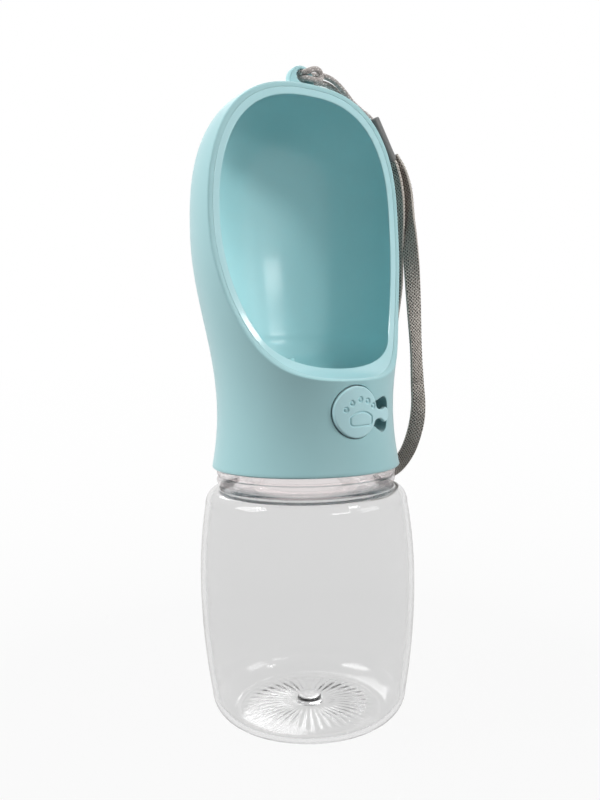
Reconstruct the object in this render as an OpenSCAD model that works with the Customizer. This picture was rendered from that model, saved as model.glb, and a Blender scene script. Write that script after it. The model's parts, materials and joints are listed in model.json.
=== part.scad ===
// Dog travel water bottle: a clear bottle under a leaf-shaped drinking trough.
// A sprung button in the waist works a sliding valve between the two.
// Millimetres. Z is up, the trough faces -Y, and the origin is the middle of the base.

/* [Bottle] */
// Height of the bottle's body, from the table to the groove under its ring
body_h = 76.2; // [66:0.2:110]
// Greatest radius of the body
body_r = 35.3; // [33:0.1:42]
// Height of the body's widest place
belly_z = 45; // [36:1:56]
// How much narrower the body is at its heel
heel_taper = 3.1; // [1.5:0.1:4.5]
// How much narrower the body is at its shoulder
shoulder_taper = 2.1; // [1:0.1:3]
// Height of the rounded heel
heel_h = 8.2; // [6:0.1:11]
// Height of the rounded shoulder
shoulder_h = 5.2; // [3:0.1:7]
// Height of the hollow under the base
punt_h = 4.2; // [2:0.1:6]
// Width of the flat ring that the bottle stands on
foot_w = 1.6; // [1:0.1:3]
// Thickness of the bottle's wall
wall_t = 1.5; // [1:0.1:2.2]
// Radius of the moulding gate's boss in the base
gate_r = 3.3; // [2:0.1:4.5]
// Height of the gate's boss
gate_h = 2.4; // [1:0.1:3.5]

/* [Neck and thread] */
// Outer radius of the neck at the root of its thread
neck_r = 24.1; // [21:0.1:26]
// Thickness of the neck's wall
neck_wall = 1.9; // [1.4:0.1:2.6]
// Height of the neck above its ring
neck_h = 8.6; // [7.6:0.1:14]
// How far the ring stands out from the neck
ring_out = 5.2; // [4.6:0.1:6.5]
// Height of each of the ring's two beads
bead_h = 2.5; // [1.8:0.1:3.5]
// Height of the groove under the ring
groove_h = 0.8; // [0.5:0.1:1.5]
// Height of the thread's ridge
thread_d = 1.1; // [0.7:0.1:1.4]
// Rise of the thread in one turn
thread_lead = 4; // [3.2:0.1:5]
// Width of the thread's ridge at its root
thread_w = 1.3; // [0.9:0.1:1.6]
// Thickness of the threaded collar's wall
collar_wall = 1.4; // [1:0.1:2.2]
// Thickness of the collar's top
collar_top_t = 1.2; // [0.8:0.1:2]
// Thickness of the gasket on the neck
gasket_t = 1.3; // [0.8:0.1:2]

/* [Head] */
// Height of the head from its waist to its widest place
flank_h = 57; // [44:1:72]
// How far the waist lies below the middle of the button
waist_drop = 0.35; // [0.1:0.05:1.5]
// Height of the dome over the widest place
dome_h = 46; // [36:1:60]
// Radius of the head at its widest
cup_r = 36.1; // [33.5:0.1:42]
// How square the dome is; 2 is an ellipse
dome_power = 2.6; // [2.1:0.1:3.2]
// How far the skirt stands out past the bottle's ring
skirt_out = 1.5; // [1.4:0.1:3]
// Thickness of the shell
shell_wall = 1.6; // [1.2:0.1:2]
// How far behind the middle plane the open front stops, at the top
rim_y = 4.7; // [2:0.1:10]
// Thickness of the lip over the button
lip_t = 1.1; // [0.8:0.1:2]
// Thickness of the trough's wall
liner_wall = 1.6; // [1.2:0.1:2.4]
// Thickness of the trough's floor
floor_t = 1.5; // [1.2:0.1:2.4]
// Radius of the round corner between the trough's floor and side
floor_fillet = 13; // [8:0.5:15]
// Width of the flange round the trough's rim
rim_w = 2.2; // [1.5:0.1:3.5]

/* [Eyelet] */
// Outer radius of the strap's eyelet
eyelet_r = 4.7; // [4.2:0.1:6]
// Radius of the eyelet's hole
eyelet_hole_r = 2; // [1.8:0.1:2.4]
// Thickness of the eyelet
eyelet_t = 3; // [2:0.1:3.2]

/* [Valve] */
// Radius of the button
button_r = 7.85; // [6.9:0.05:9]
// Thickness of the button's face
button_t = 1.6; // [1.2:0.1:2]
// How far the button stands out of the shell
button_out = 1; // [0.5:0.1:1.5]
// Travel of the button
button_travel = 3; // [2:0.1:3.2]
// Reach of the button's lock tab from its middle
tab_reach = 14.4; // [12.5:0.1:15]
// Width of the lock tab's round head
tab_w = 4.6; // [3:0.1:5]
// Angle of the lock tab from the horizontal
tab_angle = -7; // [-12:1:0]
// Turn of the lock tab each way
tab_turn = 13; // [8:1:14]
// Radius of the valve barrel's bore
bore_r = 3.2; // [2.9:0.05:3.6]
// Thickness of the valve barrel's wall
barrel_wall = 1.3; // [1:0.1:1.6]
// Thickness of the deck that carries the valve
deck_t = 2; // [1.4:0.1:2.4]
// Radius of the button's stem
stem_r = 2.3; // [2:0.05:2.5]
// Thickness of the return spring's wire
wire_d = 0.55; // [0.4:0.05:0.6]
// Number of turns of the return spring
spring_turns = 4; // [3:0.5:4.5]
// Height of the outlet nozzle above the trough's floor
nozzle_h = 5.2; // [3:0.1:9]
// Distance of the outlet behind the middle
outlet_y = 10; // [9:0.1:11]
// How far the barrel's front lies behind the waist's outside
barrel_deep = 8.5; // [8:0.1:10]
// Thickness of the cap on the barrel's plug
plug_cap_t = 0.8; // [0.6:0.1:1.2]

/* [Fits] */
// Gap between pieces that stay clear of each other
gap = 0.3; // [0.2:0.05:0.4]
// Room between the plug's cap and the shell
barrel_room = 0.8; // [0.5:0.1:1.5]
// Running clearance of a shaft in its bore
run = 0.05; // [0.03:0.01:0.08]
// Thickness of the wall round the button's well
well_wall = 0.8; // [0.6:0.1:1.1]

/* [Strap] */
// Diameter of the lanyard cord
cord_d = 1.8; // [1.4:0.1:1.9]
// Width of the wrist strap's webbing
strap_w = 5.6; // [5:0.1:6.4]
// Thickness of the webbing
strap_t = 1.2; // [0.8:0.1:1.4]
// Length of the strap's clamp
clamp_l = 15.4; // [12:0.1:18]
// Thickness of the clamp
clamp_t = 3; // [2.6:0.1:3.4]
// How much wider the clamp is than the webbing
clamp_out = 1; // [0.6:0.1:1.8]

/* [Hidden] */
$fn = 72;
far = 60;

// Bottle
shoulder_z = body_h - 0.6 - shoulder_h;
ring_r = neck_r + ring_out;
throat_r = neck_r - neck_wall;
ring_z = body_h + groove_h;
ring_top = ring_z + 2 * bead_h;
neck_top = ring_top + neck_h;
heel_r = body_r - heel_taper;
foot_r = heel_r - heel_h;
punt_r = foot_r - foot_w;

// Neck stack
thread_z = ring_top + 2.8;
collar_root_r = neck_r + thread_d + gap;
collar_r = collar_root_r + collar_wall;
gasket_z = neck_top + run;
collar_top_z = gasket_z + gasket_t + run;
deck_z = collar_top_z + collar_top_t;
deck_r = collar_r - 2.3;
deck_top = deck_z + deck_t;
deck_ring_r = deck_r - 1;
o_ring_r = 0.42;

// Head
button_bore_r = button_r + gap;
valve_z = deck_z + button_bore_r;
skirt_z = ring_top + gap;
skirt_r = ring_r + skirt_out;
waist_z = valve_z - waist_drop;
waist_r = collar_r + gap + shell_wall;
cup_z = waist_z + flank_h;
dome_z = cup_z + dome_h;
lip_z = valve_z + button_bore_r + lip_t;
well_r = button_bore_r + well_wall;
liner_z = valve_z + well_r + 0.25;
floor_z = liner_z + floor_t;
liner_in = shell_wall + gap;
bowl_in = liner_in + 0.4 + liner_wall;
corner_z = floor_z + floor_fillet;
flank_steps = 10;
dome_steps = 11;
cut_steps = 22;

// Valve, along Y at valve_z
barrel_r = bore_r + barrel_wall;
barrel_y = [barrel_deep - waist_r, waist_r - shell_wall - plug_cap_t - barrel_room];
seat_r = bore_r + 0.5;
bush_l = 3;
bush_t = 0.8;
seal_t = 1.1;
seat_y = barrel_y[0] + bush_l + seal_t + 0.1;
land_r = bore_r - 0.06;
waist_y = [outlet_y - 3.2, outlet_y + 3.2];
inlet_y = outlet_y + 6.6;
inlet_r = 1.5;
outlet_r = 1.8;
spool_y = [seat_y + 0.2, waist_y[1] + 7.4];
plug_y = barrel_y[1] - 1.7;
groove_w = 0.9;
ring_ys = [outlet_y - 5.4, outlet_y + 4.2, outlet_y + 9.4];
well_y = barrel_y[0] + gap;
bush_y = barrel_y[0] - bush_t;
hub_y = bush_y - gap - button_travel;
button_face_r = waist_r + button_out;
button_back_r = button_face_r - button_t;
boss_y = -button_back_r + 0.9;
hub_r = stem_r + 1.3;
boss_r = hub_r + 2.2;
spigot_r = stem_r - 0.4;
spigot_y = -button_back_r + 0.3;
washer_t = 0.35;
washer_y = boss_y + run;
spring_r = hub_r + 1;
spring_y = [washer_y + washer_t + run, bush_y - run];
tab_gap = 0.4;
tab_slack = 2;
recess_half = tab_turn + asin(tab_w / 2 / (tab_reach - tab_w / 2)) + tab_slack;
cut_back = 2.45;
spout_top = liner_z - 1.05;

// Eyelet
eyelet_z = dome_z + 1.8;
eyelet_hole_z = eyelet_z + 1.5;

// Soft pieces: hand-laid routes in their real places
cord_route = [
    [28.2, 0.2, 196.5], [26.3, 1.2, 198.5], [24, 2.5, 200.4], [21, 3.1, 202.6], [17.2, 2.8, 205.3],
    [13, 2.2, 206.9], [9, 1.8, 207.2], [6, 2.5, 206.6], [3.4, 2.8, 206.3], [1.4, 2.5, 206.3],
    [0.3, 1.4, 206.4], [0, 0, 206.4], [0.3, -1.4, 206.4], [1.4, -2.5, 206.3], [3.4, -2.8, 206.1],
    [5.6, -2.5, 206.4], [6.9, -1.8, 207.2], [7.1, -1.6, 208.2], [6.5, -1.9, 209.1], [5.2, -2.5, 209.6],
    [3.4, -2.8, 209.4], [1.4, -2.5, 208.6], [0.3, -1.4, 208.3], [0, 0, 208.3], [0.3, 1.4, 208.3],
    [1.4, 2.5, 208.5], [3.4, 2.8, 208.8], [6, 2.2, 209.2], [9, 0.6, 209.2], [13, 0, 208],
    [17.2, 0.4, 205.5], [21, 0.8, 202.4], [23.8, 0.3, 200.2], [25.9, -0.5, 198.6], [27.8, -1.4, 196.6]
];
clamp_top = [27.8, -0.5, 197.4];
clamp_tilt = -30;
strap_route = [
    [35.1, -0.6, 185, 0], [37, -0.8, 181.8, -1], [38.6, -1, 174.3, -6], [40.5, 0.9, 165.6, -9],
    [43, 5, 154.7, -11], [46.2, 9.7, 143.4, -17], [49.1, 15.8, 132.8, -25], [51.4, 21.3, 121.9, -37],
    [52.9, 26.3, 111.5, -45], [54, 30.5, 100.7, -50], [54.6, 33.4, 90.4, -52], [55, 35.2, 82.2, -48],
    [54.8, 34.9, 76.1, -48], [54.4, 32, 72.2, -30], [53.4, 26.2, 71.4, 23], [52.6, 18.5, 74.6, 55],
    [51.9, 11.7, 80.2, 69], [51.3, 7.2, 86.2, 77], [51.2, 4.4, 93.1, 82], [51, 3.3, 99.8, 99],
    [50.1, 2.7, 107.2, 110], [48.9, 1.9, 119, 120], [47.9, 1.5, 131.1, 107], [46.8, 1, 143, 87],
    [45.3, 0.2, 154.6, 59], [43.3, -0.9, 165.6, 34], [42.3, -1, 174.6, 28], [39.8, -0.8, 181.2, 33],
    [36.4, -0.6, 185.8, 34]
];

function arc(c, r, a0, a1, n) = [for (i = [0:n]) let(a = a0 + (a1 - a0) * i / n) c + [r[0] * cos(a), r[1] * sin(a)]];

function mix(a, b, t) = a + (b - a) * t;

function bezier(p, t) = mix(
    mix(mix(p[0], p[1], t), mix(p[1], p[2], t), t),
    mix(mix(p[1], p[2], t), mix(p[2], p[3], t), t), t);

// Radius of the body's side at a height
function side_r(z) = z < belly_z
    ? body_r - heel_taper * pow((belly_z - z) / (belly_z - heel_h), 2)
    : body_r - shoulder_taper * pow((z - belly_z) / (shoulder_z - belly_z), 2);

function side(inset, n) = [for (i = [1:n - 1]) let(z = mix(heel_h, shoulder_z, i / n)) [side_r(z) - inset, z]];

function punt(lift, n) = [for (i = [0:n]) let(r = punt_r * i / n) [r, lift + punt_h * (1 - pow(i / n, 3))]];

// Radius of the head's side between the skirt and the widest place
function head_r(z) = z < waist_z
    ? waist_r + (skirt_r - waist_r) * pow((waist_z - z) / (waist_z - skirt_z), 2)
    : waist_r + (cup_r - waist_r) * (1 - cos(180 * (z - waist_z) / flank_h)) / 2;

function flank(inset, z0, n) = [for (i = [0:n - 1]) let(z = mix(z0, cup_z, i / n)) [head_r(z) - inset, z]];

function dome(inset, n) = [
    for (i = [0:n]) let(a = 90 * i / n)
        [(cup_r - inset) * pow(cos(a), 2 / dome_power), cup_z + (dome_h - inset) * pow(sin(a), 2 / dome_power)]
];

function skirt(inset, n) = [for (i = [0:n - 1]) let(z = mix(skirt_z, waist_z, i / n)) [head_r(z) - inset, z]];

function head_outline(inset) = concat(skirt(inset, 4), flank(inset, waist_z, flank_steps), dome(inset, dome_steps));

// Outline of the bowl: a flat floor, a round corner, the flank and the dome
function bowl_outline(inset, z0) =
    let(corner_r = corner_z - z0, c = [head_r(corner_z) - inset - corner_r, corner_z])
    concat([[0, z0]], arc(c, [corner_r, corner_r], -90, 0, 6), [
        for (p = flank(inset, corner_z, flank_steps)) if (p[1] > corner_z) p
    ], dome(inset, dome_steps));

// The open front: everything before this curve, seen from the side, is cut away
front_curve = [[-rim_y, cup_z + 12], [-rim_y, cup_z - 20], [-15, lip_z + 0.4], [-32, lip_z]];

module turned(points) { rotate_extrude() polygon(points); }

module along_y(y0, y1, r, z = valve_z) { translate([0, y1, z]) rotate([90, 0, 0]) cylinder(h = y1 - y0, r = r); }

module before_curve(dy = 0, dz = 0) {
    line = [for (i = [0:cut_steps]) bezier(front_curve, i / cut_steps)];
    translate([0, dy, dz]) rotate([90, 0, 90]) linear_extrude(height = 2 * far, center = true)
        polygon(concat([[-rim_y, dome_z + far]], line, [[-far, lip_z], [-far, dome_z + far]]));
}

module ring(ri, ro, z0, z1) {
    rotate_extrude() translate([ri, z0]) square([ro - ri, z1 - z0]);
}

module torus(major, minor) { rotate_extrude() translate([major, 0]) circle(r = minor, $fn = 24); }

// A helical ridge: its root circle, its crest circle, its lowest height and its turns
module ridge(root, crest, z0, turns, start) {
    steps = round(turns * 36);
    deep = sign(crest - root) * 0.3;
    section = [
        [root - deep, -thread_w / 2 - 0.1], [crest, -thread_w / 4], [crest, thread_w / 4],
        [root - deep, thread_w / 2 + 0.1]
    ];
    order = crest > root ? [3, 2, 1, 0] : [0, 1, 2, 3];
    points = [
        for (i = [0:steps]) let(a = start + i * 10, z = z0 + thread_lead * i / 36)
            for (k = order) [section[k][0] * cos(a), section[k][0] * sin(a), z + section[k][1]]
    ];
    polyhedron(points, tube_faces(steps + 1, 4), convexity = 4);
}

// Faces of a tube of rings of n points, closed at both ends
function tube_faces(rings, n) = concat(
    [[for (k = [0:n - 1]) k]],
    [for (i = [0:rings - 2]) for (k = [0:n - 1])
        each let(a = i * n + k, b = i * n + (k + 1) % n)
            [[a, a + n, b + n], [a, b + n, b]]],
    [[for (k = [n - 1:-1:0]) (rings - 1) * n + k]]
);

function unit(v) = v / norm(v);

function xyz(p) = [p[0], p[1], p[2]];

function heading(route, i) = unit(
    unit(xyz(route[min(i + 1, len(route) - 1)]) - xyz(route[max(i - 1, 0)])));

// A direction turned square to another, by the shortest way
function squared(v, d) = unit(v - d * (v * d));

// One tube of an oval section swept along a route. Its width starts along start and is carried on
// without turning, and a point's fourth number then twists it, in degrees.
module swept(route, w, t, start) {
    sides = 8;
    n = len(route);
    across = [for (i = 0, v = squared(start, heading(route, 0)); i < n;
        i = i + 1, v = squared(v, heading(route, min(i, n - 1)))) v];
    points = [
        for (i = [0:n - 1])
            let(
                d = heading(route, i),
                twist = len(route[i]) > 3 ? route[i][3] : 0,
                side = across[i] * cos(twist) + cross(d, across[i]) * sin(twist),
                up = cross(d, side)
            )
            for (k = [0:sides - 1]) let(a = 360 * (k + 0.5) / sides)
                xyz(route[i]) + side * w / 2 * cos(a) / cos(22.5) + up * t / 2 * sin(a) / cos(22.5)
    ];
    polyhedron(points, tube_faces(n, sides), convexity = 6);
}

module bottle() {
    outer = concat(
        punt(0, 5),
        arc([foot_r, heel_h], [heel_h, heel_h], -90, 0, 7),
        side(0, 12),
        arc([ring_r - 0.7, shoulder_z], [side_r(shoulder_z) - ring_r + 0.7, shoulder_h], 0, 90, 5),
        [
            [ring_r - 1.3, body_h], [ring_r - 1.3, ring_z], [ring_r - 0.3, ring_z + 0.3],
            [ring_r, ring_z + 0.9], [ring_r, ring_z + bead_h - 0.3], [ring_r - 0.4, ring_z + bead_h],
            [ring_r - 0.4, ring_z + bead_h + 0.3], [ring_r, ring_z + bead_h + 0.6],
            [ring_r, ring_top - 0.5], [ring_r - 0.5, ring_top], [neck_r, ring_top],
            [neck_r, neck_top - 0.4], [neck_r - 0.4, neck_top], [throat_r + 0.3, neck_top],
            [throat_r, neck_top - 0.3]
        ]
    );
    inner = concat(
        [[throat_r, ring_z + 1], [throat_r + 1.8, body_h - 0.6]],
        arc([ring_r - 0.7, shoulder_z], [side_r(shoulder_z) - ring_r + 0.7 - wall_t, shoulder_h - wall_t], 90, 0, 5),
        [for (i = [11:-1:1]) side(wall_t, 12)[i - 1]],
        arc([foot_r, heel_h], [heel_h - wall_t, heel_h - wall_t], 0, -90, 7),
        [for (i = [5:-1:0]) punt(wall_t, 5)[i]]
    );
    color("#e6ecee", 0.45) {
        turned(concat(outer, inner));
        translate([0, 0, punt_h + wall_t - 0.4]) cylinder(h = gate_h + 0.4, r = gate_r);
        ridge(neck_r, neck_r + thread_d, thread_z, 1, 0);
    }
}

module neck_gasket() {
    color("#dfe3e4") ring(throat_r + 0.2, collar_root_r - 0.5, gasket_z, gasket_z + gasket_t);
}

module thread_collar() {
    foot_z = ring_top + 0.6;
    color("#9cc0cc") {
        turned([
            [collar_root_r, foot_z], [ring_r - 0.7, foot_z], [ring_r - 0.7, foot_z + 1.4],
            [collar_r, foot_z + 1.4], [collar_r, deck_z], [throat_r + 0.4, deck_z],
            [throat_r + 0.4, collar_top_z], [collar_root_r, collar_top_z]
        ]);
        ridge(collar_root_r, neck_r + 0.4, thread_z + thread_lead / 2, 0.8, 20);
    }
}

module deck_o_ring() {
    color("#3f4548") translate([0, 0, deck_z + o_ring_r + 0.02]) torus(deck_ring_r, o_ring_r);
}

module valve_housing() {
    post_top = liner_z - gap;
    color("#e9edee") difference() {
        union() {
            translate([0, 0, deck_z]) cylinder(h = deck_t, r = deck_r);
            along_y(barrel_y[0], barrel_y[1], barrel_r);
            translate([-1.2, barrel_y[0] + 2, deck_top - 0.2])
                cube([2.4, barrel_y[1] - barrel_y[0] - 4, valve_z - bore_r - 0.4 - deck_top]);
            translate([-3.4, inlet_y - 3.6, deck_top - 0.2]) cube([6.8, 7.2, valve_z - bore_r - 0.2 - deck_top]);
            translate([0, outlet_y, valve_z]) cylinder(h = spout_top - valve_z, r = 3.3);
            for (p = [[-15, -5], [15, -5], [-13, 14], [13, 14]])
                translate([p[0], p[1], deck_top - 0.2]) cylinder(h = post_top - deck_top + 0.2, r = 2);
        }
        ring(deck_ring_r - 0.5, deck_ring_r + 0.5, deck_z - 1, deck_z + 2 * o_ring_r + 0.1);
        along_y(barrel_y[0] - 1, barrel_y[1] + 1, bore_r);
        along_y(barrel_y[0] - 1, seat_y, seat_r);
        translate([0, inlet_y, deck_z - 1]) cylinder(h = valve_z - deck_z, r = inlet_r);
        translate([0, outlet_y, valve_z]) cylinder(h = far, r = outlet_r);
    }
}

module front_bush() {
    color("#d5dadc") difference() {
        union() {
            along_y(bush_y, barrel_y[0], spring_r + 1);
            along_y(barrel_y[0] - 0.1, barrel_y[0] + bush_l, seat_r - run);
        }
        along_y(-far, 0, stem_r + run);
    }
}

module stem_seal() {
    color("#3f4548") difference() {
        along_y(seat_y - seal_t - run, seat_y - run, seat_r - run);
        along_y(-far, 0, stem_r + run);
    }
}

module spool() {
    color("#c9d0d3") difference() {
        union() {
            along_y(spigot_y, hub_y + 0.1, spigot_r);
            along_y(hub_y + 0.1, spool_y[0] + 0.1, stem_r);
            along_y(spool_y[0], waist_y[0], land_r);
            along_y(waist_y[0] - 0.1, waist_y[1] + 0.1, 1.8);
            along_y(waist_y[1], spool_y[1], land_r);
        }
        difference() {
            along_y(spool_y[0] + 4, ring_ys[0] - 2.4, bore_r);
            along_y(spool_y[0] + 3, ring_ys[0] - 1, land_r - 0.5);
        }
        for (y = ring_ys) groove(y);
    }
}

module groove(y) {
    difference() {
        along_y(y - groove_w / 2, y + groove_w / 2, bore_r + 0.1);
        along_y(y - groove_w, y + groove_w, bore_r - 0.7);
    }
}

module o_ring_at(y) {
    color("#3f4548") translate([0, y, valve_z]) rotate([90, 0, 0]) torus(bore_r - 0.36, 0.31);
}

module barrel_plug() {
    color("#d5dadc") difference() {
        union() {
            along_y(plug_y, barrel_y[1] + 0.1, bore_r - 0.02);
            along_y(barrel_y[1], barrel_y[1] + plug_cap_t, barrel_r);
        }
        groove(plug_y + 0.85);
    }
}

module return_spring() {
    rise = spring_y[1] - spring_y[0] - wire_d;
    steps = round(spring_turns * 16);
    sides = 8;
    points = [
        for (i = [0:steps]) let(a = i * 22.5, y = spring_y[0] + wire_d / 2 + rise * i / steps)
            for (k = [0:sides - 1]) let(b = -360 * k / sides, r = spring_r + wire_d / 2 * cos(b))
                [r * cos(a), y + wire_d / 2 * sin(b), valve_z + r * sin(a)]
    ];
    color("#b9bec2") polyhedron(points, tube_faces(steps + 1, sides), convexity = 8);
}

module slip_washer() {
    color("#e4e7e8") difference() {
        along_y(washer_y, washer_y + washer_t, boss_r - 0.4);
        along_y(-far, 0, hub_r + 0.15);
    }
}

// Outline of the button's lock tab in the button's own plane, with a round head and a narrow neck
module tab_2d() {
    head_x = tab_reach - tab_w / 2;
    neck_half = tab_w / 2 * 0.6;
    side_cut = 3.6;
    difference() {
        union() {
            translate([button_r - 2, -tab_w / 2]) square([head_x - button_r + 2, tab_w]);
            translate([head_x, 0]) circle(r = tab_w / 2);
        }
        for (s = [-1, 1]) translate([head_x - cut_back, s * (neck_half + side_cut)]) circle(r = side_cut);
    }
}

module rounded_2d(w, h, r) {
    square([w - 2 * r, h], center = true);
    square([w, h - 2 * r], center = true);
    for (x = [-1, 1], y = [-1, 1]) translate([x * (w / 2 - r), y * (h / 2 - r)]) circle(r = r, $fn = 24);
}

// A pad with an arched top, smaller by inset all round
module pad_2d(inset) {
    intersection() {
        rounded_2d(8.7 - 2 * inset, 4.7 - 2 * inset, 1.5 - inset);
        translate([0, -4.1]) circle(r = 6.4 - inset);
    }
}

// A paw's outline: five ringed toes over a pad
module paw_2d() {
    translate([1.45, -2.1]) difference() {
        pad_2d(0);
        pad_2d(0.5);
    }
    for (p = [[-4, 0.8], [-1.9, 2.7], [1.1, 3.7], [3.9, 3.1], [6.1, 1.6]]) translate(p) difference() {
        circle(r = 0.9, $fn = 24);
        circle(r = 0.45, $fn = 24);
    }
}

module extrude_y(y0, y1) {
    translate([0, y1, valve_z]) rotate([90, 0, 0]) linear_extrude(height = y1 - y0) children();
}

module button_cap() {
    color("#a9ccd6") difference() {
        union() {
            intersection() {
                extrude_y(-far, -15) union() {
                    circle(r = button_r);
                    rotate(tab_angle) tab_2d();
                }
                ring(button_back_r, button_face_r, 0, dome_z);
            }
            along_y(-button_back_r - 0.4, boss_y, boss_r);
            along_y(-button_back_r - 0.4, hub_y, hub_r);
        }
        along_y(spigot_y - run, 0, spigot_r + run);
        intersection() {
            extrude_y(-far, -20) paw_2d();
            ring(button_face_r - 0.35, far, 0, dome_z);
        }
    }
}

module outlet_nozzle() {
    color("#8fbcc8") translate([0, outlet_y, 0]) difference() {
        union() {
            translate([0, 0, liner_z - 0.95]) cylinder(h = 0.9, r = 4.2);
            translate([0, 0, liner_z - 0.1]) cylinder(h = floor_t + 0.4, r = 2.55);
            translate([0, 0, floor_z + run]) cylinder(h = 1, r = 3.4);
            translate([0, 0, floor_z + 1]) cylinder(h = nozzle_h - 1, r1 = 2.4, r2 = 2);
        }
        cylinder(h = far * 3, r = 1.2);
    }
}

module trough_liner() {
    color("#8fbfcb") difference() {
        union() {
            turned(bowl_outline(liner_in + 0.4, liner_z));
            intersection() {
                turned(head_outline(liner_in));
                translate([-far, -far, liner_z]) cube([2 * far, 2 * far, dome_z]);
                before_curve(rim_w, -1);
            }
        }
        turned(bowl_outline(bowl_in, floor_z));
        before_curve();
        translate([0, outlet_y, 0]) cylinder(h = floor_z + 1, r = 2.6);
    }
}

// The button's hole in the shell: a round bore and the sweep of its lock tab, larger by grow all round
module button_hole_2d(grow) {
    spread = recess_half + 4 * grow;
    circle(r = button_bore_r + grow);
    rotate(tab_angle) intersection() {
        circle(r = tab_reach + tab_gap + grow);
        polygon([[0, 0], far * [cos(spread), -sin(spread)], far * [cos(spread), sin(spread)]]);
    }
}

// The skin of the head: a turned wall, open at the skirt and at the front
module head_skin() {
    difference() {
        turned(concat([[0, skirt_z], [skirt_r - 0.5, skirt_z]],
            [for (p = head_outline(0)) if (p[1] > skirt_z) p]));
        turned(concat([[0, skirt_z - 1], [head_r(skirt_z) - shell_wall, skirt_z - 1]],
            [for (p = head_outline(shell_wall)) if (p[1] > skirt_z) p]));
        before_curve();
    }
}

// The pocket that the button works in, cut clear of the valve, the deck and the collar
module button_well() {
    mid_r = waist_r - shell_wall / 2;
    difference() {
        intersection() {
            extrude_y(-far, well_y + 1) button_hole_2d(well_wall);
            linear_extrude(height = cup_z) polygon([for (a = [5:10:355]) mid_r * [cos(a), sin(a)]]);
        }
        along_y(-far, 0, barrel_r + gap);
        cylinder(h = deck_z + 0.2, r = collar_r + gap);
        cylinder(h = deck_top + 0.2, r = deck_r + gap);
    }
}

module head_shell() {
    color("#bcd9e2") difference() {
        union() {
            head_skin();
            button_well();
            eyelet();
        }
        extrude_y(-far, well_y) button_hole_2d(0);
        translate([0, 0, eyelet_hole_z]) rotate([90, 0, 0]) cylinder(h = far, r = eyelet_hole_r, center = true);
    }
}

module eyelet() {
    root_z = dome_z - shell_wall + 0.3;
    translate([0, eyelet_t / 2, 0]) rotate([90, 0, 0]) linear_extrude(height = eyelet_t) union() {
        translate([0, eyelet_z]) circle(r = eyelet_r);
        polygon([
            [-eyelet_r - 2.2, root_z], [eyelet_r + 2.2, root_z], [eyelet_r + 0.5, eyelet_z - 0.8],
            [eyelet_r - 0.1, eyelet_z + 0.6], [-eyelet_r + 0.1, eyelet_z + 0.6], [-eyelet_r - 0.5, eyelet_z - 0.8]
        ]);
    }
}

module lanyard_cord() { color("#8b8a8c") swept(cord_route, cord_d, cord_d, [0, 1, 0]); }

module strap_clamp() {
    color("#a2a3a2") translate(clamp_top) rotate([0, clamp_tilt, 0])
        translate([0, 0, -clamp_l]) linear_extrude(height = clamp_l)
            rounded_2d(clamp_t, strap_w + clamp_out, clamp_t / 2 - 0.2);
}

module wrist_strap() { color("#57534f") swept(strap_route, strap_w, strap_t, [0, 1, 0]); }

bottle();
neck_gasket();
thread_collar();
deck_o_ring();
valve_housing();
front_bush();
stem_seal();
spool();
o_ring_at(ring_ys[0]);  // front_o_ring
o_ring_at(ring_ys[1]);  // middle_o_ring
o_ring_at(ring_ys[2]);  // rear_o_ring
barrel_plug();
o_ring_at(plug_y + 0.85);  // plug_o_ring
return_spring();
slip_washer();
button_cap();
outlet_nozzle();
trough_liner();
head_shell();
lanyard_cord();
strap_clamp();
wrist_strap();
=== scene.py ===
import json
from math import asin, atan2, cos, hypot, pi, radians, sin, sqrt

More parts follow.
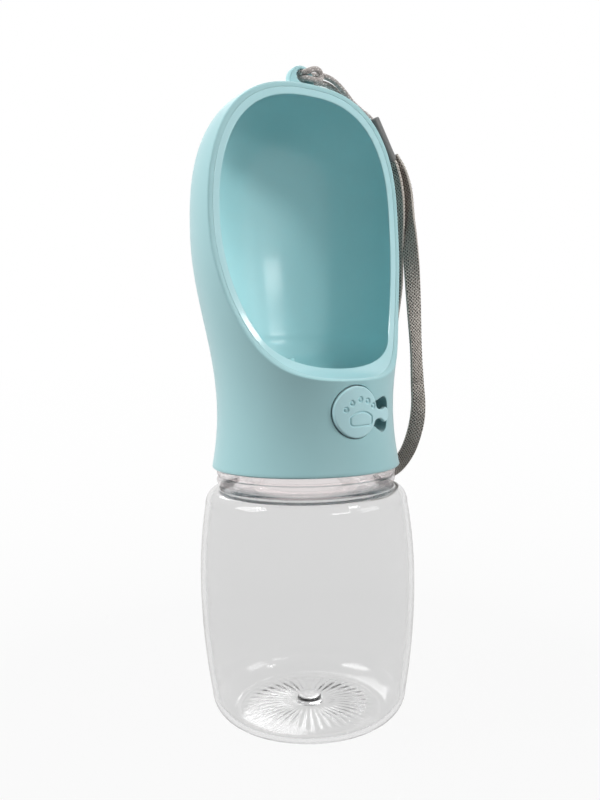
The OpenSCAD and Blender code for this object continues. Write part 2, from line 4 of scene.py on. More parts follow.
import bmesh
import bpy
import numpy as np
from mathutils import Matrix, Vector
from mathutils.geometry import delaunay_2d_cdt
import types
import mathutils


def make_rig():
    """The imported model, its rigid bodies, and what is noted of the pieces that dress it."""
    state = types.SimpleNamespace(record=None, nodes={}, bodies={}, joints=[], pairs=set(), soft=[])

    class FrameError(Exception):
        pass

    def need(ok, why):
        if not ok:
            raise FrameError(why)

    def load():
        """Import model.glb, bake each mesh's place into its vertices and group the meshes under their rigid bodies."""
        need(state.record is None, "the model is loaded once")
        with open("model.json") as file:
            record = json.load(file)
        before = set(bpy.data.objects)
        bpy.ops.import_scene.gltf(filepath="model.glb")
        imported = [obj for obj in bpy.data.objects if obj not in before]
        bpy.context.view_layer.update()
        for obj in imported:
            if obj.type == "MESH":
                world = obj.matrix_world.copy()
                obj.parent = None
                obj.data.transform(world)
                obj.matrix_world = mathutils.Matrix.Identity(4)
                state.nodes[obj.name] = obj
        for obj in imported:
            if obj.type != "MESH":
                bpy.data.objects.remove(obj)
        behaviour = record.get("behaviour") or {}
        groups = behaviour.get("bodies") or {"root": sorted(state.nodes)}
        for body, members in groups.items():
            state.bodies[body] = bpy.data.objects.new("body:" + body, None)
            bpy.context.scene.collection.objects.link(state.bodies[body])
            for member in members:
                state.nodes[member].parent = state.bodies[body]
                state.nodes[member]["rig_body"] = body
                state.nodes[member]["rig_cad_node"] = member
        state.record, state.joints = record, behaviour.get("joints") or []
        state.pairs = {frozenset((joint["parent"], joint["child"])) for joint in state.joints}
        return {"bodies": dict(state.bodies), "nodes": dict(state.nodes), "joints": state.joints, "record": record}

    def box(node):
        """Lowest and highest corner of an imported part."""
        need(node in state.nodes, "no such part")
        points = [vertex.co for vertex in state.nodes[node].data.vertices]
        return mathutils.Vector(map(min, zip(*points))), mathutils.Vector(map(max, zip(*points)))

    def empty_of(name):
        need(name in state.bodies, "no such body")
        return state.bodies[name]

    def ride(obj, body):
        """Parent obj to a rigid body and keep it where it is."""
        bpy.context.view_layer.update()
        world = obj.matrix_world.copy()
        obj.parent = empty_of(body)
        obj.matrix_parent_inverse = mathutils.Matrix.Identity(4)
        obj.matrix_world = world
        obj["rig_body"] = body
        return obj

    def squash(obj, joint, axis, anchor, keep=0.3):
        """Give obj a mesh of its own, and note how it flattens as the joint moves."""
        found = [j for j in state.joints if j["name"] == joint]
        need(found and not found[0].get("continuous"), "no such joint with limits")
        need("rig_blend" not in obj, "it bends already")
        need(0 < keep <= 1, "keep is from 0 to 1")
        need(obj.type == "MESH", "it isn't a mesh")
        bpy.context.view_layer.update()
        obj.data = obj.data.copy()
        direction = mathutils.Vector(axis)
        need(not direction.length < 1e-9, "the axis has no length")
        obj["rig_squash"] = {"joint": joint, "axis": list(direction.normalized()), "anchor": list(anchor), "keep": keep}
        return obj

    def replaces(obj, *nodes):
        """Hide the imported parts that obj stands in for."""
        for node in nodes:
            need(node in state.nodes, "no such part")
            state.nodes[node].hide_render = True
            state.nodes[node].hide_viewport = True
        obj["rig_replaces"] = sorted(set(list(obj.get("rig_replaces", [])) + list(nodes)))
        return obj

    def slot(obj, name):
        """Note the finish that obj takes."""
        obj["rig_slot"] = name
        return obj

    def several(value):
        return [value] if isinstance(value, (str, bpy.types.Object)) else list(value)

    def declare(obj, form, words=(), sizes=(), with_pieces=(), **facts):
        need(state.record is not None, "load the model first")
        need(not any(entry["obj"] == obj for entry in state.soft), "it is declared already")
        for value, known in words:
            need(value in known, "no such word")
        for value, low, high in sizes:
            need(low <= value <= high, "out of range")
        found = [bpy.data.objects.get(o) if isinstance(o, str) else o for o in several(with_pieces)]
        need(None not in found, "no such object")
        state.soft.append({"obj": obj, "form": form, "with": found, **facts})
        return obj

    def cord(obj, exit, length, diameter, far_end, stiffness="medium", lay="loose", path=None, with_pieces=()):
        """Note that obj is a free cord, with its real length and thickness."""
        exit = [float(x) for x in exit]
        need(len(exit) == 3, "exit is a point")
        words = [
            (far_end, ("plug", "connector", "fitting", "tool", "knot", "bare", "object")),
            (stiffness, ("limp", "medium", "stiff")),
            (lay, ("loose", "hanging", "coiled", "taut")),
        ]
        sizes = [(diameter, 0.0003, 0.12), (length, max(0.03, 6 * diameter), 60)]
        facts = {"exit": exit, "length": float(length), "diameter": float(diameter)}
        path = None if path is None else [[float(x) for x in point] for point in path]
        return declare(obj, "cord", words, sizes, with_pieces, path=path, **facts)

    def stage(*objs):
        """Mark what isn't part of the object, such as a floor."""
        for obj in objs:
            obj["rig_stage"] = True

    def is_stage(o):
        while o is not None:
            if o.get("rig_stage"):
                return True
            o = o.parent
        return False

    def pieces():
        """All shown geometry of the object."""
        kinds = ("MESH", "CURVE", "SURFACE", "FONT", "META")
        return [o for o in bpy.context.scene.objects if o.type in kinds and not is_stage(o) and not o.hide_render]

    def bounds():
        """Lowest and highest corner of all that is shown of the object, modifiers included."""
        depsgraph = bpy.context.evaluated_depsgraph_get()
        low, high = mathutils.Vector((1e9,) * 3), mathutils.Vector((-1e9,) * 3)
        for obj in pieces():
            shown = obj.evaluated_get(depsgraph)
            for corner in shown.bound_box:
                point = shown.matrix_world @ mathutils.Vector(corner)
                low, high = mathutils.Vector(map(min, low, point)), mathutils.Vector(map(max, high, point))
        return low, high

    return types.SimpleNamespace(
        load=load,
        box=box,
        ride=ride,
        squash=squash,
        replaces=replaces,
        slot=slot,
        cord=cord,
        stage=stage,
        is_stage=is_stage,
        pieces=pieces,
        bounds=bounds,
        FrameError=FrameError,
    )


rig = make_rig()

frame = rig.load()
cadBox = [list(corner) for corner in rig.bounds()]
mm = 0.001

# The head's main heights and radii, in millimetres
head = {
    "skirtZ": 82.3, "skirtR": 30.8, "waistZ": 101.0, "waistR": 28.8, "cupZ": 158.0, "cupR": 36.1,
    "domeZ": 204.0, "domePower": 2.6, "rimY": 4.7, "lipZ": 110.6, "wall": 1.6, "valveZ": 101.35,
}


def addObject(name, data):
    made = bpy.data.objects.new(name, data)
    bpy.context.collection.objects.link(made)
    return made


# ---- the camera stands on the button's left; angles are in degrees and lengths in millimetres
view = {
    "distance": 262.5, "height": 121.0, "down": 3.8, "roll": 0.9, "round": 32.0, "aside": 0.344, "lens": 36.0,
    "sensor": 36,
}


def makeCamera(v):
    around, down, roll = (radians(v[angle]) for angle in ("round", "down", "roll"))
    back = Vector((-sin(around), -cos(around), 0))
    ahead = Matrix.Rotation(radians(v["aside"]), 3, "Z") @ -back
    right = Vector((ahead.y, -ahead.x, 0))
    aim = ahead * cos(down) - Vector((0, 0, sin(down)))
    up = right.cross(aim)
    tiltedRight = right * cos(roll) - up * sin(roll)
    tiltedUp = right * sin(roll) + up * cos(roll)
    camera = addObject("camera", bpy.data.cameras.new("camera"))
    camera.data.lens, camera.data.sensor_width = v["lens"], v["sensor"]
    spot = Vector((0, 0, v["height"])) + back * v["distance"]
    turn = Matrix((tiltedRight, tiltedUp, -aim)).transposed().to_4x4()
    camera.matrix_world = Matrix.Translation(spot * mm) @ turn
    bpy.context.scene.camera = camera


makeCamera(view)


# ---- shader nodes written as expressions
class Maths:
    def __init__(self, finish, socket):
        self.finish, self.socket = finish, socket

    def join(self, operation, *values):
        return self.finish.node("ShaderNodeMath", {"operation": operation}, *values)

    def __add__(self, other): return self.join("ADD", self, other)
    def __radd__(self, other): return self.join("ADD", other, self)
    def __sub__(self, other): return self.join("SUBTRACT", self, other)
    def __rsub__(self, other): return self.join("SUBTRACT", other, self)
    def __mul__(self, other): return self.join("MULTIPLY", self, other)
    def __rmul__(self, other): return self.join("MULTIPLY", other, self)
    def __rtruediv__(self, other): return self.join("DIVIDE", other, self)
    def sine(self): return self.join("SINE", self)
    def absolute(self): return self.join("ABSOLUTE", self)
    def power(self, other): return self.join("POWER", self, other)
    def clamp(self): return self.finish.node("ShaderNodeClamp", {}, self)


class Nodes:
    def __init__(self, tree):
        self.tree = tree

    def node(self, kind, settings, *values, out=0, at=(), **named):
        made = self.tree.nodes.new(kind)
        for key, value in settings.items():
            setattr(made, key, value)
        for key, value in [*enumerate(values), *at, *((k.replace("_", " "), v) for k, v in named.items())]:
            self.feed(made.inputs[key], value)
        return Maths(self, made.outputs[out]) if len(made.outputs) else made

    def feed(self, socket, value):
        if isinstance(value, Maths):
            self.tree.links.new(value.socket, socket)
        else:
            socket.default_value = value


class Finish(Nodes):
    def __init__(self, name):
        self.material = bpy.data.materials.new(name)
        self.material.use_nodes = True
        super().__init__(self.material.node_tree)
        self.shader = self.tree.nodes["Principled BSDF"]

    def set(self, **values):
        for key, value in values.items():
            self.feed(self.shader.inputs[key.replace("_", " ")], value)
        return self

    def place(self, uv=False):
        return self.node("ShaderNodeTexCoord", {}, out="UV" if uv else "Object")

    def split(self, vector):
        made = self.node("ShaderNodeSeparateXYZ", {}, vector)
        return [Maths(self, s) for s in made.socket.node.outputs]

    def noise(self, vector, size, detail, roughness=0.5):
        return self.node("ShaderNodeTexNoise", {}, Vector=vector, Scale=1 / size, Detail=detail,
                         Roughness=roughness)

    def mix(self, factor, a, b):
        return self.node("ShaderNodeMix", {"data_type": "RGBA"}, factor, out=2, at=[(6, a), (7, b)])

    def bump(self, height, strength, distance):
        return self.node("ShaderNodeBump", {}, Height=height, Strength=strength, Distance=distance)

    def blend(self, factor, other):
        mixer = self.node("ShaderNodeMixShader", {}, factor, Maths(self, self.shader.outputs[0]), other)
        self.tree.links.new(mixer.socket, self.tree.nodes["Material Output"].inputs["Surface"])
        return self.material


def colour(text, alpha=1.0):
    parts = [int(text[i:i + 2], 16) / 255 for i in (1, 3, 5)]
    return [((c + 0.055) / 1.055) ** 2.4 if c > 0.04045 else c / 12.92 for c in parts] + [alpha]


def moulded(name, tone, roughness, coat=0.0, sheen=0.0):
    f = Finish(name)
    p = f.place()
    cloud, grain = f.noise(p, 0.02, 2), f.noise(p, 0.0006, 4, 0.6)
    dark = [c * 0.95 for c in colour(tone)[:3]] + [1]
    f.set(Base_Color=f.mix(cloud, colour(tone), dark), Roughness=roughness - 0.06 + 0.12 * cloud,
          Normal=f.bump(grain, 0.25, 0.00002), Coat_Weight=coat, Coat_Roughness=0.14,
          Sheen_Weight=sheen, Sheen_Roughness=0.4)
    return f.material


shellMatt = moulded("shellMatt", "#9dc6ca", 0.46, sheen=0.5)
# The liner's front band gets its own copy of the liner plastic, toned to paint how the band is lit.
linerEdge = moulded("linerEdge", "#a5d0d5", 0.34, coat=0.8)
linerSatin = moulded("linerSatin", "#abd9dd", 0.36, coat=0.5)
# The button's tone is paler than the shell's teal: painted light where the button face catches the light.
buttonMatt = moulded("buttonMatt", "#b4dadf", 0.44, sheen=0.3)
clampMatt = moulded("clampMatt", "#686968", 0.4)
collarMatt = moulded("collarMatt", "#a3c4cc", 0.4)
whiteMatt = moulded("whiteMatt", "#e4e8e8", 0.35)
sealRubber = moulded("sealRubber", "#3a3f42", 0.6)
siliconeSoft = moulded("siliconeSoft", "#9fc4cb", 0.5)
greyMatt = moulded("greyMatt", "#c4cacc", 0.35)


def brushedWire():
    f = Finish("brushedWire")
    fine = f.noise(f.place(), 0.0004, 2)
    return f.set(Base_Color=colour("#b9bec2"), Metallic=1.0, Roughness=0.22 + 0.12 * fine).material


# A grey diffuse layer mixed in at grazing angles paints a dark outline: painted shade along the silhouette of the clear
# walls.
def clearPlastic(name, tone, outlineShadeTone, edge, alpha=1.0):
    f = Finish(name)
    swirl = f.noise(f.place(), 0.03, 2)
    facing = f.node("ShaderNodeLayerWeight", {}, 0.5, out="Facing")
    f.set(Base_Color=colour(tone), Roughness=0.03 + 0.05 * swirl, Normal=f.bump(swirl, 0.12, 0.0004),
          Transmission_Weight=1.0, IOR=1.3, Alpha=alpha)
    return f.blend(edge * facing.power(7), f.node("ShaderNodeBsdfDiffuse", {}, colour(outlineShadeTone)))


wireBright = brushedWire()
# The third tone of each clear plastic is the painted shade of its outline.
bottleClear = clearPlastic("clearPlastic", "#ebebeb", "#a9a7a5", 0.45)
# The neck takes a lighter, pinker, half see-through copy of the clear plastic: painted light over the dark seen down
# the neck.
neckClear = clearPlastic("clearNeck", "#e9dddd", "#b3a8a8", 0.5, alpha=0.5)


def wovenStrap():
    f = Finish("wovenStrap")
    across, along, _ = f.split(f.place(uv=True))
    ribs = (across * (pi / 0.0005)).sine().absolute()
    rows = (along * (pi / 0.00058)).sine().absolute()
    threads = f.noise(f.place(uv=True), 0.0004, 2)
    tone = f.mix(ribs * (0.55 + 0.45 * rows), colour("#a9a198"), colour("#e0dad2"))
    f.set(Base_Color=f.mix(0.3 * threads, tone, colour("#968c83")), Roughness=0.8,
          Normal=f.bump(ribs * rows, 0.6, 0.0002), Sheen_Weight=0.2)
    return f.material


# The cord's colour goes dark in the grooves between strands and pale on their crowns, following the bump: painted shade
# in the grooves.
def braidedCord():
    f = Finish("braidedCord")
    around, along, _ = f.split(f.place(uv=True))
    one = ((along * 2600 + around * 1100) * pi).sine()
    two = ((along * 2600 - around * 1100) * pi).sine()
    strandsAndGrooveShade = (one * two).absolute()
    f.set(Base_Color=f.mix(strandsAndGrooveShade, colour("#8d8581"), colour("#c8c0bc")), Roughness=0.75,
          Normal=f.bump(strandsAndGrooveShade, 0.6, 0.0002), Sheen_Weight=0.2)
    return f.material


# Yarn takes its tone from each pick, and fine filaments run over it
def yarn(name, dark, pale, fuzz):
    f = Finish(name)
    tone = f.node("ShaderNodeAttribute", {"attribute_name": "tone"}, out="Fac")
    fibre = f.noise(f.place(), 0.00018, 3, 0.7)
    f.set(Base_Color=f.mix((tone + fuzz * (fibre - 0.5)).clamp(), colour(dark), colour(pale)),
          Roughness=0.62 + 0.2 * fibre, Normal=f.bump(fibre, 0.5, 0.00008), Sheen_Weight=0.25)
    return f.material


strapCloth = wovenStrap()
cordCloth = braidedCord()
strapYarn = yarn("strapYarn", "#1a1716", "#6e645c", 0.4)
cordYarn = yarn("cordYarn", "#958d89", "#f0ece9", 0.7)


# ---- mesh helpers; every size here is in millimetres
class Maker:
    def __init__(self):
        self.points, self.faces, self.marked = [], [], range(0)

    def add(self, p):
        self.points.append(tuple(float(c) for c in p))
        return len(self.points) - 1

    def loop(self, points):
        return [self.add(p) for p in points]

    def strip(self, a, b, closed=True):
        n = len(a)
        for i in range(n - 1 + closed):
            quad = [a[i], a[(i + 1) % n], b[(i + 1) % n], b[i]]
            quad = [q for k, q in enumerate(quad) if q not in quad[:k]]
            if len(quad) > 2:
                self.faces.append(quad)

    def join(self, rings, closed=True):
        for a, b in zip(rings, rings[1:]):
            self.strip(a, b, closed)
        return rings

    def skin(self, loops, closed=True):
        return self.join([self.loop(points) for points in loops], closed)

    def fan(self, ring, middle):
        self.strip(ring, [self.add(middle)] * len(ring))

    def cap(self, rings):
        self.faces += [rings[0][::-1], rings[-1]]

    # Faces that are marked take the piece's second material
    def finish(self, name, body, slot, node, *materials, sharp=38):
        mesh = bpy.data.meshes.new(name)
        mesh.from_pydata([Vector(p) * mm for p in self.points], [], self.faces)
        for i in self.marked:
            mesh.polygons[i].material_index = 1
        work = bmesh.new()
        work.from_mesh(mesh)
        bmesh.ops.remove_doubles(work, verts=work.verts, dist=0.002 * mm)
        bmesh.ops.recalc_face_normals(work, faces=work.faces)
        work.to_mesh(mesh)
        work.free()
        smooth(mesh, sharp)
        return place(name, mesh, body, slot, node, *materials)


def smooth(mesh, sharp):
    mesh.polygons.foreach_set("use_smooth", [True] * len(mesh.polygons))
    mesh.set_sharp_from_angle(angle=radians(sharp))


def place(name, mesh, body, slot, node, *materials):
    made = addObject(name, mesh)
    for material in materials:
        mesh.materials.append(material)
    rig.ride(made, body)
    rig.slot(made, slot)
    if node:
        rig.replaces(made, node)
    print(name, len(mesh.polygons))
    return made


def bow(x, z, r, angles, rz=None):
    return [(x + r * cos(a), z + (rz or r) * sin(a)) for a in angles]


def arc(x, z, r, start, end, n, rz=None):
    return bow(x, z, r, [radians(start + (end - start) * i / n) for i in range(n + 1)], rz)


def circle(r, n, z=0.0):
    return bow(0, z, r, [2 * pi * k / n for k in range(n)])


def roundedBox(w, h, r, n):
    corners = ((w - r, h - r), (r - w, h - r), (r - w, r - h), (w - r, r - h))
    return [p for i, (x, z) in enumerate(corners) for p in arc(x, z, r, 90 * i, 90 * i + 90, n)]


# Turns a profile of radii and heights; spot says where a radius, height and angle are in space
def lathe(maker, profile, segments, spot):
    rings = []
    for r, height in profile:
        ring = [spot(r, height, 2 * pi * k / segments) for k in range(segments if r else 1)]
        rings.append(maker.loop(ring) if r else [maker.add(ring[0])] * segments)
    maker.join(rings)


def travelled(points):
    return np.concatenate([[0], np.cumsum(np.linalg.norm(np.diff(points, axis=0), axis=1))])


def resample(points, s, stations):
    return np.column_stack([np.interp(stations, s, column) for column in np.array(points).T])


# ---- swept tubes with a UV map in metres: across, then along
def smoothRoute(points, step):
    pts = np.array(points, float)
    out = []
    for i in range(len(pts) - 1):
        p0, p1, p2, p3 = pts[max(i - 1, 0)], pts[i], pts[i + 1], pts[min(i + 2, len(pts) - 1)]
        n = max(1, int(round(np.linalg.norm(p2[:3] - p1[:3]) / step)))
        for k in range(n):
            t = k / n
            out.append(0.5 * ((2 * p1) + (p2 - p0) * t + (2 * p0 - 5 * p1 + 4 * p2 - p3) * t ** 2
                              + (3 * p1 - p0 - 3 * p2 + p3) * t ** 3))
    return np.array(out + [pts[-1]])


# A section is swept along a route, starting with its width along Y
def sweepMesh(name, route, section, step):
    path = smoothRoute(route, step)
    centre = path[:, :3]
    twist = path[:, 3] if path.shape[1] > 3 else np.zeros(len(path))
    tangent = np.gradient(centre, axis=0)
    tangent /= np.linalg.norm(tangent, axis=1)[:, None]
    across = np.array([0.0, 1.0, 0.0])
    alongs, rows = travelled(centre), []
    for c, d, a in zip(centre, tangent, np.radians(twist)):
        across = across - d * across.dot(d)
        across /= np.linalg.norm(across)
        up = np.cross(d, across)
        side, top = across * cos(a) + up * sin(a), up * cos(a) - across * sin(a)
        rows.append([c + side * u + top * v for u, v in section])
    n = len(section)
    rim = travelled(section + section[:1])
    points = [Vector(p) * mm for row in rows for p in row]
    faces, uvs = [], []
    for i in range(len(rows) - 1):
        for k in range(n):
            m = (k + 1) % n
            faces.append([i * n + k, i * n + m, (i + 1) * n + m, (i + 1) * n + k])
            uvs += [(rim[k + u], alongs[i + v]) for u, v in ((0, 0), (1, 0), (1, 1), (0, 1))]
    last = (len(rows) - 1) * n
    for ring, along in ((list(range(n))[::-1], 0), (list(range(last, last + n)), alongs[-1])):
        faces.append(ring)
        uvs += [(rim[q % n], along) for q in ring]
    mesh = bpy.data.meshes.new(name)
    mesh.from_pydata(points, [], faces)
    mesh.uv_layers.new(name="UVMap").data.foreach_set("uv", [c * mm for uv in uvs for c in uv])
    smooth(mesh, 60)
    return mesh, centre, tangent, float(alongs[-1])


def sweep(name, route, section, slot, node, material, step):
    mesh, centre, _, length = sweepMesh(name, route, section, step)
    return place(name, mesh, "head", slot, node, material), [tuple(p * mm) for p in centre], length * mm


# ---- geometry trees; a group is a tree with the identifiers of its named inputs
def openTree(name, inputs):
    tree = bpy.data.node_groups.new(name, "GeometryNodeTree")
    socket = tree.interface.new_socket
    socket("Guide", in_out="INPUT", socket_type="NodeSocketGeometry")
    names = {label: socket(label, in_out="INPUT", socket_type="NodeSocket" + kind).identifier
             for label, kind in inputs.items()}
    socket("Piece", in_out="OUTPUT", socket_type="NodeSocketGeometry")
    n = Nodes(tree)
    entry = n.node("NodeGroupInput", {}).socket.node
    return n, names, [Maths(n, s) for s in entry.outputs[:len(inputs) + 1]]


def closeTree(n, made, material):
    solid = n.node("GeometryNodeRealizeInstances", {}, made)
    smooth = n.node("GeometryNodeSetShadeSmooth", {}, solid)
    n.node("NodeGroupOutput", {}, n.node("GeometryNodeSetMaterial", {}, smooth, Material=material))


def grow(name, mesh, group, values, slot, node):
    holder = addObject(name + "Holder", mesh)
    modifier = holder.modifiers.new("grow", "NODES")
    modifier.node_group, names = group
    for label, value in values.items():
        modifier[names[label]] = value
    made = bpy.data.meshes.new_from_object(holder.evaluated_get(bpy.context.evaluated_depsgraph_get()))
    made.name = name
    bpy.data.objects.remove(holder)
    return place(name, made, "head", slot, node)


# Lays a thread's pick on each face of a guide mesh, along the way the guide runs
def weaveTree():
    n, names, entries = openTree("weave", {"Width": "Float", "Length": "Float", "Height": "Float",
                                           "Variation": "Float", "Seed": "Int", "Thread": "Material"})
    guide, wide, long, high, change, seed, thread = entries
    read = lambda name: n.node("GeometryNodeInputNamedAttribute", {"data_type": "FLOAT_VECTOR"}, name)
    spots = n.node("GeometryNodeMeshToPoints", {"mode": "FACES"}, guide)
    turn = n.node("FunctionNodeAxesToRotation", {"primary_axis": "Z", "secondary_axis": "Y"},
                  read("outward"), read("along"))
    vary = n.node("FunctionNodeRandomValue", {"data_type": "FLOAT"}, out=1,
                  at=[(2, 1 - change), (3, 1 + change), (8, seed)])
    size = n.node("ShaderNodeCombineXYZ", {}, wide * vary, long * vary, high)
    pick = n.node("GeometryNodeMeshUVSphere", {}, Segments=6, Rings=4, Radius=0.5)
    laid = n.node("GeometryNodeInstanceOnPoints", {}, spots, Instance=pick, Rotation=turn, Scale=size)
    closeTree(n, laid, thread)
    return n.tree, names


weave = weaveTree()


def picks(name, route, section, slot, material, w):
    mesh, _, tangent, _ = sweepMesh(name + "Guide", route, section, w["row"])
    n = len(section)
    count = len(mesh.polygons) // n * n
    row, column = np.divmod(np.arange(count), n)
    outward, middle = (np.array([getattr(f, k) for f in mesh.polygons[:count]]) for k in ("normal", "center"))
    along = (tangent[row] + tangent[row + 1]) / 2
    lean = radians(w["lean"])
    along = along * cos(lean) + np.cross(outward, along) * sin(lean)
    keep = np.nonzero((row + column) % 2 == 0)[0]
    size = w["row"] * 0.05 * mm
    outward, along, middle = outward[keep], along[keep], middle[keep]
    side = np.cross(outward, along)
    side *= size / np.linalg.norm(side, axis=1)[:, None]
    corners = np.stack([middle + side, middle + along * size, middle - side], axis=1).reshape(-1, 3)
    guide = bpy.data.meshes.new(name + "Faces")
    guide.from_pydata(corners.tolist(), [], np.arange(len(corners)).reshape(-1, 3).tolist())
    for label, values in (("outward", outward), ("along", along)):
        guide.attributes.new(label, "FLOAT_VECTOR", "FACE").data.foreach_set("vector", values.ravel())
    tones = w["tone"](column[keep], row[keep])
    guide.attributes.new("tone", "FLOAT", "FACE").data.foreach_set("value", tones)
    values = {label: w[label.lower()] * mm for label in ("Width", "Length", "Height")}
    values |= {"Variation": w["variation"], "Seed": w["seed"], "Thread": material}
    return grow(name, guide, weave, values, slot, None)


cordRoute = [
    [28.2, 0.2, 196.5], [26.3, 1.2, 198.5], [24, 2.5, 200.4], [21, 3.1, 202.6], [17.2, 2.8, 205.3],
    [13, 2.2, 206.9], [9, 1.8, 207.2], [6, 2.5, 206.6], [3.4, 2.8, 206.3], [1.4, 2.5, 206.3],
    [0.3, 1.4, 206.4], [0, 0, 206.4], [0.3, -1.4, 206.4], [1.4, -2.5, 206.3], [3.4, -2.8, 206.1],
    [5.6, -2.5, 206.4], [6.9, -1.8, 207.2], [7.1, -1.6, 208.2], [6.5, -1.9, 209.1], [5.2, -2.5, 209.6],
    [3.4, -2.8, 209.4], [1.4, -2.5, 208.6], [0.3, -1.4, 208.3], [0, 0, 208.3], [0.3, 1.4, 208.3],
    [1.4, 2.5, 208.5], [3.4, 2.8, 208.8], [6, 2.2, 209.2], [9, 0.6, 209.2], [13, 0, 208],
    [17.2, 0.4, 205.5], [21, 0.8, 202.4], [23.8, 0.3, 200.2], [25.9, -0.5, 198.6], [27.8, -1.4, 196.6],
]
# Each strap point's fourth number is the twist of its width, in degrees, from the way it starts
strapRoute = [
    [35.1, -0.6, 185, 0], [37, -0.8, 181.8, -1], [38.6, -1, 174.3, -6], [40.5, 0.9, 165.6, -9],
    [43, 5, 154.7, -11], [46.2, 9.7, 143.4, -17], [49.1, 15.8, 132.8, -25], [51.4, 21.3, 121.9, -37],
    [52.9, 26.3, 111.5, -45], [54, 30.5, 100.7, -50], [54.6, 33.4, 90.4, -52], [55, 35.2, 82.2, -48],
    [54.8, 34.9, 76.1, -48], [54.4, 32, 72.2, -30], [53.4, 26.2, 71.4, 23], [52.6, 18.5, 74.6, 55],
    [51.9, 11.7, 80.2, 69], [51.3, 7.2, 86.2, 77], [51.2, 4.4, 93.1, 82], [51, 3.3, 99.8, 99],
    [50.1, 2.7, 107.2, 110], [48.9, 1.9, 119, 120], [47.9, 1.5, 131.1, 107], [46.8, 1, 143, 87],
    [45.3, 0.2, 154.6, 59], [43.3, -0.9, 165.6, 34], [42.3, -1, 174.6, 28], [39.8, -0.8, 181.2, 33],
    [36.4, -0.6, 185.8, 34],
]
strap = {"cordWidth": 1.8, "width": 5.6, "thick": 1.2, "edge": 0.45, "braid": 0.93, "selvedge": 0.15}
strapPicks = {
    "row": 0.6, "width": 0.52, "length": 0.8, "height": 0.4, "lean": 20, "variation": 0.12, "seed": 4,
    "tone": lambda column, row: np.where(np.isin(column % 10, (0, 1, 8, 9)), 0.0, 0.55),
}
# The cord's picks ramp from dark to pale across each strand: painted shade on the round strands, darkest where one
# strand meets the next.
cordPicks = {
    "row": 0.5, "width": 0.5, "length": 0.85, "height": 0.34, "lean": 28, "variation": 0.15, "seed": 9,
    "tone": lambda column, row: ((column * 3 + row) % 5) / 4,
}


def makeCords(s):
    r, w, t = s["cordWidth"] / 2, s["width"] / 2, s["thick"] / 2
    cord = sweep("lanyardCord", cordRoute, circle(r, 12), "cord_grey", "lanyard_cord", cordCloth, 0.45)
    band = roundedBox(w, t, s["edge"], 3)
    webbing = sweep("wristStrap", strapRoute, band, "strap_webbing", "wrist_strap", strapCloth, 1.2)
    braid = picks("cordThreads", cordRoute, circle(s["braid"] * r, 8), "cord_grey", cordYarn, cordPicks)
    across = [(w - s["selvedge"]) * (1 - 2 * k / 8) for k in range(9)]
    loop = [(u, t) for u in across] + [(u, -t) for u in across[::-1]]
    cloth = picks("strapThreads", strapRoute, loop, "strap_webbing", strapYarn, strapPicks)
    return (*cord, braid), (*webbing, cloth)


cordPart, strapPart = makeCords(strap)
print("cords laid", round(cordPart[2], 4), round(strapPart[2], 4))


# ---- the head's and the bowl's outlines, turned about the Z axis
def headRadius(z):
    h = head
    if z < h["waistZ"]:
        fall = (h["waistZ"] - z) / (h["waistZ"] - h["skirtZ"])
        return h["waistR"] + (h["skirtR"] - h["waistR"]) * fall ** 2
    rise = min((z - h["waistZ"]) / (h["cupZ"] - h["waistZ"]), 1)
    return h["waistR"] + (h["cupR"] - h["waistR"]) * (1 - cos(pi * rise)) / 2


class Outline:
    def __init__(self, inset, floor=None, fillet=0.0, low=None):
        h, tall, power = head, head["domeZ"] - head["cupZ"] - inset, 2 / head["domePower"]
        start = low or h["skirtZ"]
        pts = []
        if floor is not None:
            top = floor + fillet
            middle = headRadius(top) - inset - fillet
            pts = [(middle * i / 60, floor) for i in range(60)] + arc(middle, top, fillet, -90, 0, 60)
            start = top
        pts += [(headRadius(z) - inset, z) for z in np.linspace(start, h["cupZ"], 400)]
        pts += [((h["cupR"] - inset) * cos(a) ** power, h["cupZ"] + tall * sin(a) ** power)
                for a in np.linspace(0, pi / 2, 900)[1:-1]]
        pts.append((0.0, h["cupZ"] + tall))
        self.line = np.array(pts)
        self.r, self.z = self.line.T
        self.s = travelled(self.line)
        self.first = 0 if floor is None else 59

    def at(self, s):
        return float(np.interp(s, self.s, self.r)), float(np.interp(s, self.s, self.z))

    def radius(self, z):
        return float(np.interp(z, self.z[self.first:], self.r[self.first:]))

    def point(self, angle, s):
        r, z = self.at(s)
        return r * sin(angle), -r * cos(angle), z

    def points(self, spots):
        return [self.point(angle, s) for angle, s in spots]

    def locate(self, p):
        x, y, z = p
        here, steps = np.array([hypot(x, y), z]), np.diff(self.line, axis=0)
        offset = here - self.line[:-1]
        t = np.clip((offset * steps).sum(1) / np.maximum((steps * steps).sum(1), 1e-12), 0, 1)
        i = int(np.argmin(np.linalg.norm(offset - t[:, None] * steps, axis=1)))
        return atan2(x, -y), float(self.s[i] + t[i] * (self.s[i + 1] - self.s[i]))

    def normal(self, angle, s):
        r0, z0 = self.at(s - 0.3)
        r1, z1 = self.at(s + 0.3)
        n = np.array([(z1 - z0) * sin(angle), -(z1 - z0) * cos(angle), r0 - r1])
        return n / np.linalg.norm(n)


# The open front is cut by one curve seen from the side: u runs from the lip, 0, up to 1 and straight on
front = {
    "straightZ": head["cupZ"] + 12, "rise": 40, "bend": 32, "lipY": -32, "turnY": -15, "turnZ": 0.4,
    "steps": 150,
}


def frontAt(u):
    y0, z0 = -head["rimY"], front["straightZ"]
    if u > 1:
        return y0, z0 + (u - 1) * front["rise"]
    t = 1 - u
    points = [(y0, z0), (y0, z0 - front["bend"]), (front["turnY"], head["lipZ"] + front["turnZ"]),
              (front["lipY"], head["lipZ"])]
    return tuple(np.dot([u ** 3, 3 * t * u ** 2, 3 * t * t * u, t ** 3], points))


